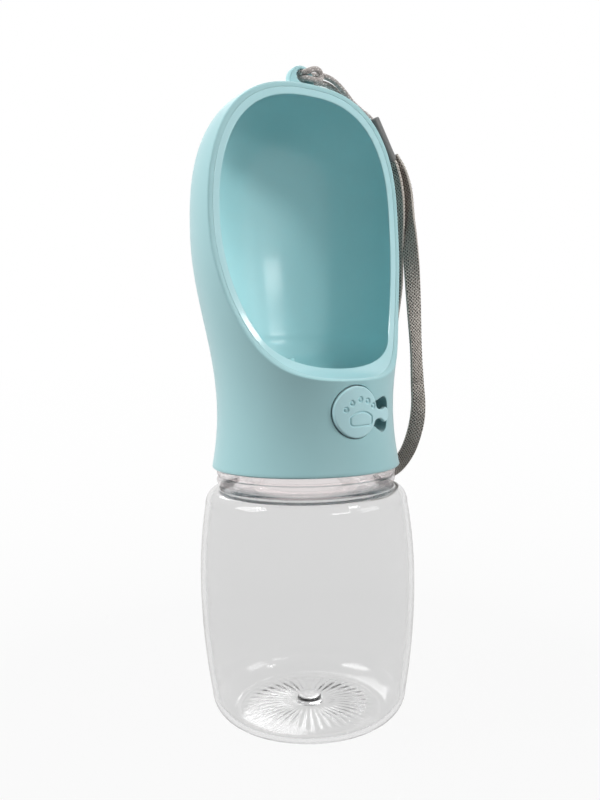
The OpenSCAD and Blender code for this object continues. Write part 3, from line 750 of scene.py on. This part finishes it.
def rimLine(outline):
    line, last = [], None
    for u in np.linspace(0, 1, 3000):
        y, z = frontAt(u)
        if z < outline.z[outline.first]:
            continue
        gap = outline.radius(z) ** 2 - y * y
        if last and gap >= 0 and not line:
            line.append((0.0, last[0] + (u - last[0]) * last[1] / (last[1] - gap)))
        if gap > 0:
            line.append((sqrt(gap), u))
        last = u, gap
    edge, straightZ = head["rimY"], front["straightZ"]
    past = lambda z: 1 + (z - straightZ) / front["rise"]
    line += [(sqrt(r * r - edge * edge), past(z)) for r, z in outline.line if z > straightZ and r > edge]
    line.append((0.0, past(float(np.interp(-edge, -outline.r[outline.first:], outline.z[outline.first:])))))
    s = travelled([(x, *frontAt(u)) for x, u in line])
    return resample(line, s, np.linspace(0, s[-1], front["steps"] + 1))


def onFront(line):
    return np.array([(x, *frontAt(u)) for x, u in line])


def setBack(outline, points, distance):
    along = np.gradient(points, axis=0)
    along /= np.linalg.norm(along, axis=1)[:, None]
    along[0], along[-1] = (1, 0, 0), (-1, 0, 0)
    out = []
    for p, t in zip(points, along):
        step = np.cross(t, outline.normal(*outline.locate(p)))
        out.append(outline.locate(p + distance * step / np.linalg.norm(step)))
    return [(0.0, out[0][1]), *out[1:-1], (0.0, out[-1][1])]


def mirrored(points):
    half = [tuple(p) for p in points]
    return half + [(-x, y, z) for x, y, z in half[-2:0:-1]]


def rounded(a, corner, b, n):
    return [[(1 - t) ** 2 * np.array(p) + 2 * t * (1 - t) * np.array(c) + t * t * np.array(q)
             for p, c, q in zip(a, corner, b)] for t in np.linspace(0, 1, n + 1)]


# A turned skin behind a rim: rows run from the rim to the middle of the back, and full rings close the top
def backSkin(maker, outline, rim, columns):
    n = len(rim) - 1
    shares = [(k / columns) ** 1.25 for k in range(columns + 1)]
    ends = [s + 0.03 * i * (1 - i / n) for i, (_, s) in enumerate(rim)]
    rows = [[outline.point(angle + (pi - angle) * f, s + (end - s) * f) for f in shares]
            for (angle, s), end in zip(rim, ends)]
    for side in (1, -1):
        maker.skin([[(side * x, y, z) for x, y, z in row] for row in rows], closed=False)
    angles = [pi * f for f in shares]
    angles += [2 * pi - a for a in angles[-2:0:-1]]
    top = outline.s[-1]
    made = ringRows(maker, outline, np.linspace(rim[-1][1], top, 7)[:-1], angles)
    maker.fan(made[-1], outline.point(0, top))
    return angles


def ringRows(maker, outline, stations, angles):
    return maker.skin([[outline.point(a, s) for a in angles] for s in stations])


# ---- the button's hole and the button's own outline, in the plane seen from the front
hole = {"r": 8.15, "reach": 14.8, "turn": -7.0, "half": 26.0, "inner": 1.0, "outer": 2.6, "floorY": -20.0}


def evenly(points, step):
    pts = np.array(points + points[:1])
    s = travelled(pts)
    return resample(pts, s, np.linspace(0, s[-1], int(s[-1] / step) + 1)[:-1])


def turned(points, degrees):
    c, s = cos(radians(degrees)), sin(radians(degrees))
    return [(x * c - y * s, x * s + y * c) for x, y in points]


def grown(points, by):
    along = np.roll(points, -1, axis=0) - np.roll(points, 1, axis=0)
    along /= np.linalg.norm(along, axis=1)[:, None]
    return points + by * np.column_stack([along[:, 1], -along[:, 0]])


def holeOutline(h):
    inner = asin(h["inner"] / (h["r"] + h["inner"]))
    outer = asin(h["outer"] / (h["reach"] - h["outer"]))
    half = radians(h["half"])
    a, b = half + inner, half - outer

    def bend(distance, angle, r, start, end):
        return bow(distance * cos(angle), -distance * sin(angle), r, np.linspace(start, end, 14))

    pts = bow(0, 0, h["r"], np.linspace(a, 2 * pi - a, 200))
    below = bend(h["r"] + h["inner"], a, h["inner"], pi - a, pi / 2 - half)
    below += bend(h["reach"] - h["outer"], b, h["outer"], -pi / 2 - half, -b)
    pts += below + bow(0, 0, h["reach"], np.linspace(-b, b, 60)[1:-1])
    return evenly(turned(pts + [(x, -y) for x, y in below[::-1]], h["turn"]), 0.4)


# Where two circles meet; side 1 is on the right of the way from the first centre to the second
def meet(x0, y0, r0, x1, y1, r1, side):
    d = hypot(x1 - x0, y1 - y0)
    ux, uy = (x1 - x0) / d, (y1 - y0) / d
    a = (r0 * r0 - r1 * r1 + d * d) / (2 * d)
    h = side * sqrt(max(r0 * r0 - a * a, 0))
    return x0 + a * ux + h * uy, y0 + a * uy - h * ux


def tabOutline(h, button):
    r, tabR, headX, cutR = button["r"], button["tabR"], button["headX"], button["cutR"]
    cx, cy = headX - button["cutBack"], button["neck"] + cutR
    joinX, joinY = meet(0, 0, r, cx, cy, cutR, 1)
    endX, endY = meet(cx, cy, cutR, headX, 0, tabR, -1)
    start, tip = atan2(joinY, joinX), atan2(endY, endX - headX)
    cut0, cut1 = atan2(joinY - cy, joinX - cx) % (2 * pi), atan2(endY - cy, endX - cx) % (2 * pi)
    upper = bow(cx, cy, cutR, np.linspace(cut0, cut1, 40)[1:])
    pts = bow(0, 0, r, np.linspace(start, 2 * pi - start, 200)) + [(x, -y) for x, y in upper]
    pts += bow(headX, 0, tabR, np.linspace(-tip, tip, 50)[1:-1]) + upper[::-1]
    return evenly(turned(pts, h["turn"]), 0.3)


def inside(points, loop):
    x, z = np.array(points).T
    odd = np.zeros(len(x), bool)
    for (x0, z0), (x1, z1) in zip(loop, np.roll(loop, -1, axis=0)):
        crosses = (z0 > z) != (z1 > z)
        if z0 != z1:
            odd ^= crosses & (x < (x1 - x0) * (z - z0) / (z1 - z0) + x0)
    return odd


def distanceTo(p, loop):
    best = np.full(len(p), 1e9)
    for u, v in zip(loop, np.roll(loop, -1, axis=0)):
        d = v - u
        t = np.clip(((p - u) @ d) / max(d @ d, 1e-12), 0, 1)
        best = np.minimum(best, np.linalg.norm(p - u - t[:, None] * d, axis=1))
    return best


# Fills the plane between an outer loop and an optional hole with small triangles
def patch(maker, outer, inner, step, lift):
    loops = [np.array(loop) for loop in (outer, inner) if loop is not None]

    def within(points):
        keep = inside(points, loops[0])
        for loop in loops[1:]:
            keep &= ~inside(points, loop)
        return keep

    low, high = loops[0].min(0), loops[0].max(0)
    rows = enumerate(np.arange(low[1], high[1], step * 0.87))
    grid = np.array([(x + j % 2 * step / 2, z) for j, z in rows for x in np.arange(low[0], high[0], step)])
    keep = within(grid)
    edges, first = [], 0
    for loop in loops:
        keep &= distanceTo(grid, loop) > 0.45 * step
        n = len(loop)
        edges += [(first + i, first + (i + 1) % n) for i in range(n)]
        first += n
    points = np.vstack(loops + [grid[keep]])
    flat, _, faces, _, _, _ = delaunay_2d_cdt([Vector(p) for p in points], edges, [], 0, 1e-6)
    flat = np.array([(v[0], v[1]) for v in flat])
    keep = within([flat[list(f)].mean(0) for f in faces])
    index = maker.loop([lift(x, z) for x, z in flat])
    maker.faces += [[index[i] for i in f] for f, k in zip(faces, keep) if k]


# ---- the head's shell
shell = {
    "edge": 0.55, "edgeIn": 0.6, "innerEdge": 0.1, "columns": 72, "rowStep": 0.75, "foot": 0.5,
    "footOut": 0.55, "footIn": 0.45, "window": (-20.0, 36.0, 91.2), "holeEdge": 0.3, "wellWall": 1.0,
    "boreR": 4.8, "patchStep": 0.9, "wellStep": 1.6,
}


# Rows down to the foot, with a window left out in front and filled with a patch round the button's hole
def windowedRows(maker, outline, top, bottom, angles, holeLoop, s):
    left, right, low = s["window"]
    zAxis = head["valveZ"]
    stations = np.linspace(top, bottom, int((top - bottom) / s["rowStep"]) + 1)
    degrees = [(a if a <= pi else a - 2 * pi) * 180 / pi for a in angles]
    n = len(angles)
    rings = [[outline.point(a, station) for a in angles] for station in stations]
    index = [maker.loop(ring) for ring in rings]
    last = next(i for i, station in enumerate(stations) if outline.at(station)[1] < low)
    order = sorted(range(n), key=lambda k: degrees[k])
    hollow = [k for k in order if left < degrees[k] <= right]
    cols = hollow + [next(k for k in order if degrees[k] > right)]
    for i, (a, b) in enumerate(zip(index, index[1:])):
        maker.faces += [[a[k], a[(k + 1) % n], b[(k + 1) % n], b[k]] for k in range(n)
                        if i >= last or k not in hollow]
    loop = [rings[0][k] for k in cols] + [rings[i][cols[-1]] for i in range(1, last)]
    loop += [rings[last][k] for k in cols[::-1]] + [rings[i][cols[0]] for i in range(last - 1, 0, -1)]
    lift = lambda x, z: (x, -sqrt(outline.radius(z + zAxis) ** 2 - x * x), z + zAxis)
    patch(maker, [(x, z - zAxis) for x, _, z in loop], holeLoop, s["patchStep"], lift)
    return index[-1]


def makeShell(s):
    maker = Maker()
    skins = [Outline(inset) for inset in (0, s["edgeIn"], head["wall"] - s["innerEdge"], head["wall"])]
    rims = [onFront(rimLine(skin)) for skin in skins]
    outer, inner = skins[0], skins[-1]
    outEdge, inEdge = setBack(outer, rims[0], s["edge"]), setBack(inner, rims[3], s["innerEdge"])
    loops = rounded(outer.points(outEdge), rims[0], rims[1], 5)
    loops += rounded(rims[2], rims[3], inner.points(inEdge), 3)
    maker.skin(mirrored(loop) for loop in loops)
    outline, feet = holeOutline(hole), []
    for skin, edge, gap, turn in ((outer, outEdge, s["holeEdge"], -s["footOut"]),
                                  (inner, inEdge, 0.5, s["footIn"])):
        angles = backSkin(maker, skin, edge, s["columns"])
        low = float(np.interp(head["skirtZ"] + s["foot"], skin.z[:300], skin.s[:300]))
        rings = [windowedRows(maker, skin, edge[0][1], low, angles, grown(outline, gap), s)]
        for a in (radians(18 * k) for k in range(1, 6)):
            r, z = skin.at(low)[0] + turn * (1 - cos(a)), head["skirtZ"] + s["foot"] * (1 - sin(a))
            rings.append(maker.loop([(r * sin(t), -r * cos(t), z) for t in angles]))
        maker.join(rings)
        feet.append(rings[-1])
    maker.strip(*feet)
    zAxis, floor, back = head["valveZ"], hole["floorY"], hole["floorY"] + s["wellWall"]
    onSkin = lambda skin, pts, deep: [(x, deep - sqrt(skin.radius(z + zAxis) ** 2 - x * x), z + zAxis)
                                      for x, z in pts]
    flat = lambda pts, y: [(x, y, z + zAxis) for x, z in pts]
    edge, wellLoop, backLoop = s["holeEdge"], grown(outline, -0.4), grown(outline, 0.5)
    loops = rounded(onSkin(outer, grown(outline, edge), 0), onSkin(outer, outline, 0),
                    onSkin(outer, outline, edge), 4)
    maker.skin(loops + [flat(outline, floor - 0.5), flat(wellLoop, floor)])
    maker.skin([onSkin(inner, backLoop, 0), flat(backLoop, back)])
    bore = circle(s["boreR"], 48)
    for loop, y in ((wellLoop, floor), (backLoop, back)):
        patch(maker, loop, bore, s["wellStep"], lambda x, z, y=y: (x, y, z + zAxis))
    maker.skin([flat(bore, floor), flat(bore, back)])
    return maker


makeShell(shell).finish("headShell", "head", "shell_plastic", "head_shell", shellMatt)


# ---- the bowl that fills the head
liner = {
    "in": 1.64, "wall": 2.26, "floorZ": 112.05, "fillet": 13.0, "underZ": 110.55, "edge": 0.1,
    "innerEdge": 0.35, "floorEdge": 0.15, "columns": 64,
}


def makeLiner(s):
    maker = Maker()
    outer = Outline(s["in"], low=s["underZ"])
    bowlIn = s["in"] + s["wall"]
    bowl = Outline(bowlIn, s["floorZ"], s["fillet"])
    edge = s["innerEdge"]
    start = rimLine(Outline(s["in"] + s["edge"]))
    end = rimLine(Outline(bowlIn - edge, s["floorZ"] - s["floorEdge"], s["fillet"]))
    rimOut, rimIn = onFront(rimLine(outer)), onFront(rimLine(bowl))
    outEdge, inEdge = setBack(outer, rimOut, s["edge"]), setBack(bowl, rimIn, edge)
    band = [onFront(start + (end - start) * f) for f in np.linspace(0, 1, 9)]
    loops = rounded(outer.points(outEdge), rimOut, band[0], 4) + band[1:-1]
    loops += rounded(band[-1], rimIn, bowl.points(inEdge), 3)
    maker.skin(mirrored(loop) for loop in loops)
    maker.marked = range(len(maker.faces))
    for skin, rim, low, rows, z in ((bowl, inEdge, 0.6, 26, s["floorZ"]),
                                    (outer, outEdge, 0, 3, s["underZ"])):
        angles = backSkin(maker, skin, rim, s["columns"])
        made = ringRows(maker, skin, np.linspace(rim[0][1], low, rows), angles)
        maker.fan(made[-1], (0, 0, z))
    return maker


# The front edge takes the second material: the liner's plastic with a glossier coat and a separate pale tone, which is
# painted light on the front band.
makeLiner(liner).finish("troughLiner", "head", "liner_plastic", "trough_liner", linerSatin, linerEdge)


# ---- the clear bottle
bottle = {
    "height": 76.2, "r": 35.3, "bellyZ": 45.0, "heelTaper": 3.1, "shoulderTaper": 2.1, "heel": 8.2,
    "shoulder": 5.2, "top": 0.6, "punt": 1.2, "foot": 1.6, "wall": 1.5, "gateR": 3.9, "gateH": 2.0,
    "neckR": 24.1, "neckWall": 1.9, "neck": 8.6, "ring": 5.2, "bead": 2.5, "groove": 0.8,
    "threadOut": 1.1, "threadLead": 4.0, "threadWide": 1.3, "threadUp": 2.8, "threadSteps": 108, "turn": 72,
    "petals": 40, "petalDeep": 0.1, "petalStart": 5.4,
}


def sideRadius(b, z):
    shoulderZ = b["height"] - b["top"] - b["shoulder"]
    if z < b["bellyZ"]:
        return b["r"] - b["heelTaper"] * ((b["bellyZ"] - z) / (b["bellyZ"] - b["heel"])) ** 2
    return b["r"] - b["shoulderTaper"] * ((z - b["bellyZ"]) / (shoulderZ - b["bellyZ"])) ** 2


def bottleOutline(b):
    ringR, throat = b["neckR"] + b["ring"], b["neckR"] - b["neckWall"]
    shoulderZ, ringZ = b["height"] - b["top"] - b["shoulder"], b["height"] + b["groove"]
    ringTop = ringZ + 2 * b["bead"]
    neckTop = ringTop + b["neck"]
    footR = b["r"] - b["heelTaper"] - b["heel"]
    puntR = footR - b["foot"]
    under = [(puntR * t, b["punt"] * (1 - t ** 3)) for t in np.linspace(0, 0.98, 26)]
    foot = [(puntR + 0.1, 0.1), (puntR + 0.5, 0.0), (footR, 0.0)]
    heel = arc(footR, b["heel"], b["heel"], -90, 0, 18)[1:]
    sides = [(sideRadius(b, z), z) for z in np.linspace(b["heel"], shoulderZ, 50)[1:]]
    reach = sideRadius(b, shoulderZ) - ringR + 0.7
    over = arc(ringR - 0.7, shoulderZ, reach, 0, 90, 16, b["shoulder"])[1:]
    beads = [(ringR - 1.2, b["height"]), (ringR - 1.3, b["height"] + 0.3), (ringR - 1.3, ringZ - 0.1)]
    for z in (ringZ, ringZ + b["bead"]):
        beads += arc(ringR - 0.75, z + b["bead"] / 2, 0.75, -90, 90, 10, b["bead"] / 2 - 0.12)
        beads += [(ringR - 0.9, z + b["bead"] - 0.02)]
    beads = beads[:-1] + [(ringR - 1.2, ringTop), (b["neckR"] + 0.3, ringTop), (b["neckR"], ringTop + 0.3)]
    lip = arc(b["neckR"] - 0.4, neckTop - 0.4, 0.4, 0, 90, 4)
    lip += arc(throat + 0.4, neckTop - 0.4, 0.4, 90, 180, 4)
    w = b["wall"]
    inside = [(throat, ringZ + 1.4), (throat + 0.4, ringZ + 0.4), (throat + 1.9, b["height"] - 0.7)]
    inside += arc(ringR - 0.7, shoulderZ, reach - w, 90, 0, 16, b["shoulder"] - w)
    inside += [(sideRadius(b, z) - w, z) for z in np.linspace(shoulderZ, b["heel"], 50)[1:]]
    inside += arc(footR, b["heel"], b["heel"] - w, 0, -90, 18)[1:]
    inside += [(footR - 0.4, w), (puntR + 0.1, w + 0.1)]
    inside += [(puntR * t, w + b["punt"] * (1 - t ** 3)) for t in np.linspace(0.98, 0.26, 22)]
    top, gate = w + b["punt"] + b["gateH"], b["gateR"]
    low = w + b["punt"]
    inside += [(gate + 1.2, low), (gate + 0.3, low + 0.3), (gate - 0.1, low + 0.8), (gate, top - 0.7)]
    inside += arc(gate - 0.7, top - 0.7, 0.7, 0, 90, 4)[1:] + [(gate * 0.35, top), (0, top - 0.25)]
    return under + foot + heel + sides + over + beads + lip + inside


def makeBottle(b):
    maker = Maker()
    first, limit = b["petalStart"], b["r"] - b["heelTaper"] - b["heel"] - b["foot"]

    def spot(r, z, a):
        if z <= b["punt"] + b["wall"] + 0.1 and first < r < limit:
            z += b["petalDeep"] * sin(pi * (r - first) / (limit - first)) ** 1.5 * cos(b["petals"] * a)
        return r * sin(a), -r * cos(a), z

    lathe(maker, bottleOutline(b), 168, spot)
    steps, w = b["threadSteps"], b["threadWide"]
    crest, root = b["neckR"] + b["threadOut"], b["neckR"] - 0.15
    loops = []
    for i in range(steps + 1):
        a = 2 * pi * i / b["turn"]
        z = b["height"] + b["groove"] + 2 * b["bead"] + b["threadUp"] + b["threadLead"] * i / b["turn"]
        out = root + (crest - root) * min(1, 6 * i / steps, 6 * (steps - i) / steps) ** 0.5
        half = [(root, 0.58 * w), (out - 0.15, 0.3 * w), (out, 0.15 * w)]
        section = [(r, -dz) for r, dz in half] + half[::-1]
        loops.append([(r * sin(a), -r * cos(a), z + dz) for r, dz in section])
    maker.cap(maker.skin(loops))
    return maker


bottlePart = makeBottle(bottle).finish("clearBottle", "bottle", "clear_plastic", "bottle", bottleClear,
                                       neckClear, sharp=50)
# Faces above the top of the shoulder take the neck's lighter copy of the plastic: painted light on the neck.
neckZ = (bottle["height"] - 0.5) * mm
for face in bottlePart.data.polygons:
    face.material_index = int(face.center.z > neckZ)


# ---- the button with its lock tab and its paw
button = {
    "r": 7.85, "faceR": 29.8, "backR": 28.2, "edge": 0.5, "backEdge": 0.3, "tabR": 2.3, "headX": 12.1,
    "cutR": 3.6, "cutBack": 2.45, "neck": 1.38, "bosses": [(5.8, -27.3), (3.6, -24.4)], "bossStart": -28.6,
    "engrave": 0.45, "soft": 0.13, "line": 0.5, "faceStep": 0.17, "backStep": 0.9,
    "toes": [(-4, 0.8), (-1.9, 2.7), (1.1, 3.7), (3.9, 3.1), (6.1, 1.6)], "toeR": 0.9, "toeIn": 0.45,
    "pad": (1.45, -2.1), "padSize": (8.7, 4.7), "padCorner": 1.5, "padArch": 6.4, "archDown": 4.1,
}


def padField(x, z, b):
    w, h, c = b["padSize"][0] / 2, b["padSize"][1] / 2, b["padCorner"]
    px, pz = np.abs(x - b["pad"][0]) - w + c, np.abs(z - b["pad"][1]) - h + c
    box = np.hypot(np.maximum(px, 0), np.maximum(pz, 0)) + np.minimum(np.maximum(px, pz), 0) - c
    dome = np.hypot(x - b["pad"][0], z - b["pad"][1] + b["archDown"]) - b["padArch"]
    return np.maximum(box, dome)


def pawDepth(x, z, b):
    band = lambda d, wide: 1 / (1 + np.exp(np.clip((np.abs(d) - wide / 2) / (b["soft"] / 3), -30, 30)))
    deep = band(padField(x, z, b) + b["line"] / 2, b["line"])
    middle, wide = (b["toeR"] + b["toeIn"]) / 2, b["toeR"] - b["toeIn"]
    for tx, tz in b["toes"]:
        deep = np.maximum(deep, band(np.hypot(x - tx, z - tz) - middle, wide))
    return deep * b["engrave"]


def makeButton(b, h):
    maker = Maker()
    zAxis = head["valveZ"]
    outline = tabOutline(h, b)
    curve = lambda r, x: -sqrt(r * r - x * x)
    at = lambda pts, r: [(x, curve(r, x), z + zAxis) for x, z in pts]
    flat, back = grown(outline, -b["edge"]), grown(outline, -b["backEdge"])
    patch(maker, flat, None, b["faceStep"],
          lambda x, z: (x, curve(b["faceR"], x) + float(pawDepth(x, z, b)), z + zAxis))
    loops = rounded(at(flat, b["faceR"]), at(outline, b["faceR"]), at(outline, b["faceR"] - b["edge"]), 5)
    loops += rounded(at(outline, b["backR"] + b["backEdge"]), at(outline, b["backR"]),
                     at(back, b["backR"]), 2)
    maker.skin(loops)
    patch(maker, back, None, b["backStep"], lambda x, z: (x, curve(b["backR"], x), z + zAxis))
    for r, y in b["bosses"]:
        profile = [(0, b["bossStart"]), (r, b["bossStart"]), (r, y - 0.3), (r - 0.3, y), (0, y)]
        lathe(maker, profile, 48, lambda q, depth, t: (q * cos(t), depth, q * sin(t) + zAxis))
    return maker


makeButton(button, hole).finish("outletButton", "button", "button_plastic", "button_cap", buttonMatt)


# ---- the lug on the top and the clamp on the strap
lug = {
    "r": 4.7, "z": 205.8, "thick": 3.0, "holeR": 2.0, "holeZ": 207.3, "holeEdge": 0.45, "baseHalf": 7.2,
    "baseZ": 202.4, "edge": 0.7, "step": 0.45, "fill": 0.6,
}


def makeLug(g):
    maker = Maker()
    pts = bow(0, g["z"], g["r"], np.linspace(radians(-8), radians(188), 60))
    flare = [(-g["baseHalf"] + (g["baseHalf"] - g["r"] + 0.03) * f ** 2.2,
              g["baseZ"] + (g["z"] - 0.65 - g["baseZ"]) * f) for f in np.linspace(1, 0, 12)[1:]]
    outline = evenly(pts + flare + [(-x, z) for x, z in flare[::-1]], g["step"])
    bore = np.array(circle(g["holeR"], 40, g["holeZ"]))
    half = g["thick"] / 2
    for loop, e, side in ((outline, g["edge"], -1), (bore, g["holeEdge"], 1)):
        loops = []
        for turn in np.linspace(-90, 90, 9):
            a = radians(turn)
            y = (half - e) * np.sign(turn) + e * sin(a)
            loops.append([(x, y, z) for x, z in grown(loop, side * e * (1 - cos(a)))])
        maker.skin(loops)
    for y in (-half, half):
        patch(maker, grown(outline, -g["edge"]), grown(bore, g["holeEdge"]), g["fill"],
              lambda x, z, y=y: (x, y, z))
    return maker


makeLug(lug).finish("headLug", "head", "shell_plastic", None, shellMatt)

clamp = {
    "top": (27.8, -0.5, 197.4), "tilt": 30.0, "length": 15.4, "thick": 3.0, "wide": 6.6, "edge": 0.6,
    "flat": 0.2,
}


def makeClamp(c):
    maker = Maker()
    e, tilt = c["edge"], Matrix.Rotation(radians(-c["tilt"]), 3, "Y")
    ends = [(e * (1 - sin(a)), e * (1 - cos(a))) for a in np.linspace(pi / 2, 0, 5)]
    loops = []
    for z, less in [(-z, less) for z, less in ends] + [(z - c["length"], less) for z, less in ends[::-1]]:
        w, t = c["wide"] / 2 - less, c["thick"] / 2 - less
        outline = roundedBox(t, w, t - c["flat"], 7)
        loops.append([Vector(c["top"]) + tilt @ Vector((x, y, z)) for x, y in outline])
    maker.cap(maker.skin(loops))
    return maker


clampPart = makeClamp(clamp).finish("strapClamp", "head", "clamp_grey", "strap_clamp", clampMatt)
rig.cord(cordPart[0], exit=cordPart[1][0], length=cordPart[2], diameter=strap["cordWidth"] * mm,
        far_end="object", stiffness="medium", lay="loose", path=cordPart[1], with_pieces=[cordPart[3]])
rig.cord(strapPart[0], exit=strapPart[1][0], length=strapPart[2], diameter=strap["width"] * mm,
        far_end="object", stiffness="medium", lay="hanging", path=strapPart[1],
        with_pieces=[clampPart, strapPart[3]])


# ---- the return spring, wound by a geometry tree about the valve's axis
spring = {"turns": 4.0, "r": 4.6, "wire": 0.55, "travel": 3.0, "fixedEnd": -0.0211}


def makeSpring(g, material):
    low, high = (Vector(corner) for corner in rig.box("return_spring"))
    long, thick = high.y - low.y, g["wire"] * mm
    n, names, entries = openTree("coil", {"Turns": "Float", "Radius": "Float", "Wire": "Float",
                                          "Rise": "Float", "Metal": "Material"})
    _, turns, radius, wire, rise, metal = entries
    line = n.node("GeometryNodeCurveSpiral", {}, Resolution=24, Rotations=turns, Start_Radius=radius,
                  End_Radius=radius, Height=rise)
    section = n.node("GeometryNodeCurvePrimitiveCircle", {}, Resolution=10, Radius=wire)
    tube = n.node("GeometryNodeCurveToMesh", {}, line, section, Fill_Caps=True)
    middle = (low + high) / 2
    closeTree(n, n.node("GeometryNodeTransform", {}, tube, Rotation=(-pi / 2, 0, 0),
                        Translation=(middle.x, low.y + thick / 2, middle.z)), metal)
    values = {"Turns": g["turns"], "Radius": g["r"] * mm, "Wire": thick / 2, "Rise": long - thick,
              "Metal": material}
    made = grow("returnSpring", bpy.data.meshes.new("springStart"), (n.tree, names), values, "spring_steel",
                "return_spring")
    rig.squash(made, "button_press", axis=(0, 1, 0), anchor=(0, g["fixedEnd"], 0),
              keep=1 - g["travel"] * mm / long)


makeSpring(spring, wireBright)


# ---- finishes of the parts that keep their own shape
finishes = (
    (siliconeSoft, "neck_gasket"), (collarMatt, "thread_collar"), (whiteMatt, "valve_housing slip_washer"),
    (greyMatt, "front_bush spool barrel_plug"), (linerSatin, "outlet_nozzle"),
    (sealRubber, "deck_o_ring stem_seal front_o_ring middle_o_ring rear_o_ring plug_o_ring"),
)
for material, names in finishes:
    for name in names.split():
        for slot in frame["nodes"][name].material_slots:
            slot.link, slot.material = "OBJECT", material


# ---- floor, backdrop and lamps
# Each lamp's row: azimuth and elevation in degrees, distance, size, watts, and whether gloss shows it
studio = {
    "floor": 4.0, "floorTone": "#707070", "sky": 0.08, "plain": 0.94, "near": 0.12, "aim": 0.11,
    "lamps": {
        "key": (-112, 36, 1.0, (0.5, 0.5), 10.3, False),
        "fill": (47, 20, 1.0, (0.45, 0.45), 4.5, False),
        "back": (165, 35, 1.0, (0.5, 0.5), 4.5, False),
        "glintLeft": (-102, 46, 1.0, (0.2, 0.2), 2.2, True),
        "glintRight": (38, 46, 1.0, (0.2, 0.2), 2.0, True),
        "strip": (8, 20, 0.9, (0.34, 0.13), 1.15, True),
    },
    "bowl": {
        "azimuth": 20, "elevation": 30, "distance": 0.6, "aim": 0.168, "cone": 15, "soft": 0.06, "power": 6.4,
    },
}


def stand(name, data, azimuth, elevation, distance, aim, power):
    data.energy = power
    made = addObject(name, data)
    a, e = radians(azimuth), radians(elevation)
    toward = Vector((sin(a) * cos(e), -cos(a) * cos(e), sin(e)))
    made.location = toward * distance + Vector((0, 0, aim))
    made.rotation_euler = toward.to_track_quat("Z", "Y").to_euler()
    return made


def lamps(s):
    for name, (azimuth, elevation, distance, size, power, gloss) in s["lamps"].items():
        data = bpy.data.lights.new(name, "AREA")
        data.shape = "RECTANGLE"
        data.size, data.size_y = size
        stand(name, data, azimuth, elevation, distance, s["aim"], power).visible_glossy = gloss
    b = s["bowl"]
    data = bpy.data.lights.new("bowlLamp", "SPOT")
    data.spot_size, data.spot_blend, data.shadow_soft_size = radians(b["cone"]), 1.0, b["soft"]
    stand("bowlLamp", data, b["azimuth"], b["elevation"], b["distance"], b["aim"],
          b["power"]).visible_glossy = False


def whiteToEye(f):
    outputs = f.node("ShaderNodeLightPath", {}).socket.node.outputs
    kinds = ("Is Camera Ray", "Is Glossy Ray", "Is Transmission Ray")
    eye, gloss, through = (Maths(f, outputs[kind]) for kind in kinds)
    return (eye + gloss + through).clamp()


def makeStudio(s):
    h, mesh = s["floor"], bpy.data.meshes.new("floor")
    mesh.from_pydata([(-h, -h, 0), (h, -h, 0), (h, h, 0), (-h, h, 0)], [], [(0, 1, 2, 3)])
    floor = addObject("floor", mesh)
    f = Finish("paleFloor").set(Base_Color=colour(s["floorTone"]), Roughness=0.7)
    x, y, _ = f.split(f.place())
    fade = (1 - s["near"] / (x * x + y * y).power(0.5)).clamp()
    white = f.node("ShaderNodeEmission", {}, Color=(1, 1, 1, 1), Strength=1.0)
    mesh.materials.append(f.blend(whiteToEye(f) * (s["plain"] + (1 - s["plain"]) * fade), white))
    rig.stage(floor)
    world = bpy.data.worlds.new("studio")
    bpy.context.scene.world = world
    world.use_nodes = True
    w = Nodes(world.node_tree)
    soft = w.tree.nodes["Background"]
    soft.inputs["Color"].default_value = (1, 1, 1, 1)
    w.feed(soft.inputs["Strength"], s["sky"] + (1 - s["sky"]) * whiteToEye(w))
    lamps(s)


makeStudio(studio)
bpy.context.scene.view_settings.view_transform = "Standard"
with open("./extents.json", "w") as out:
    json.dump({"cad": cadBox, "dressed": [list(corner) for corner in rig.bounds()]}, out)
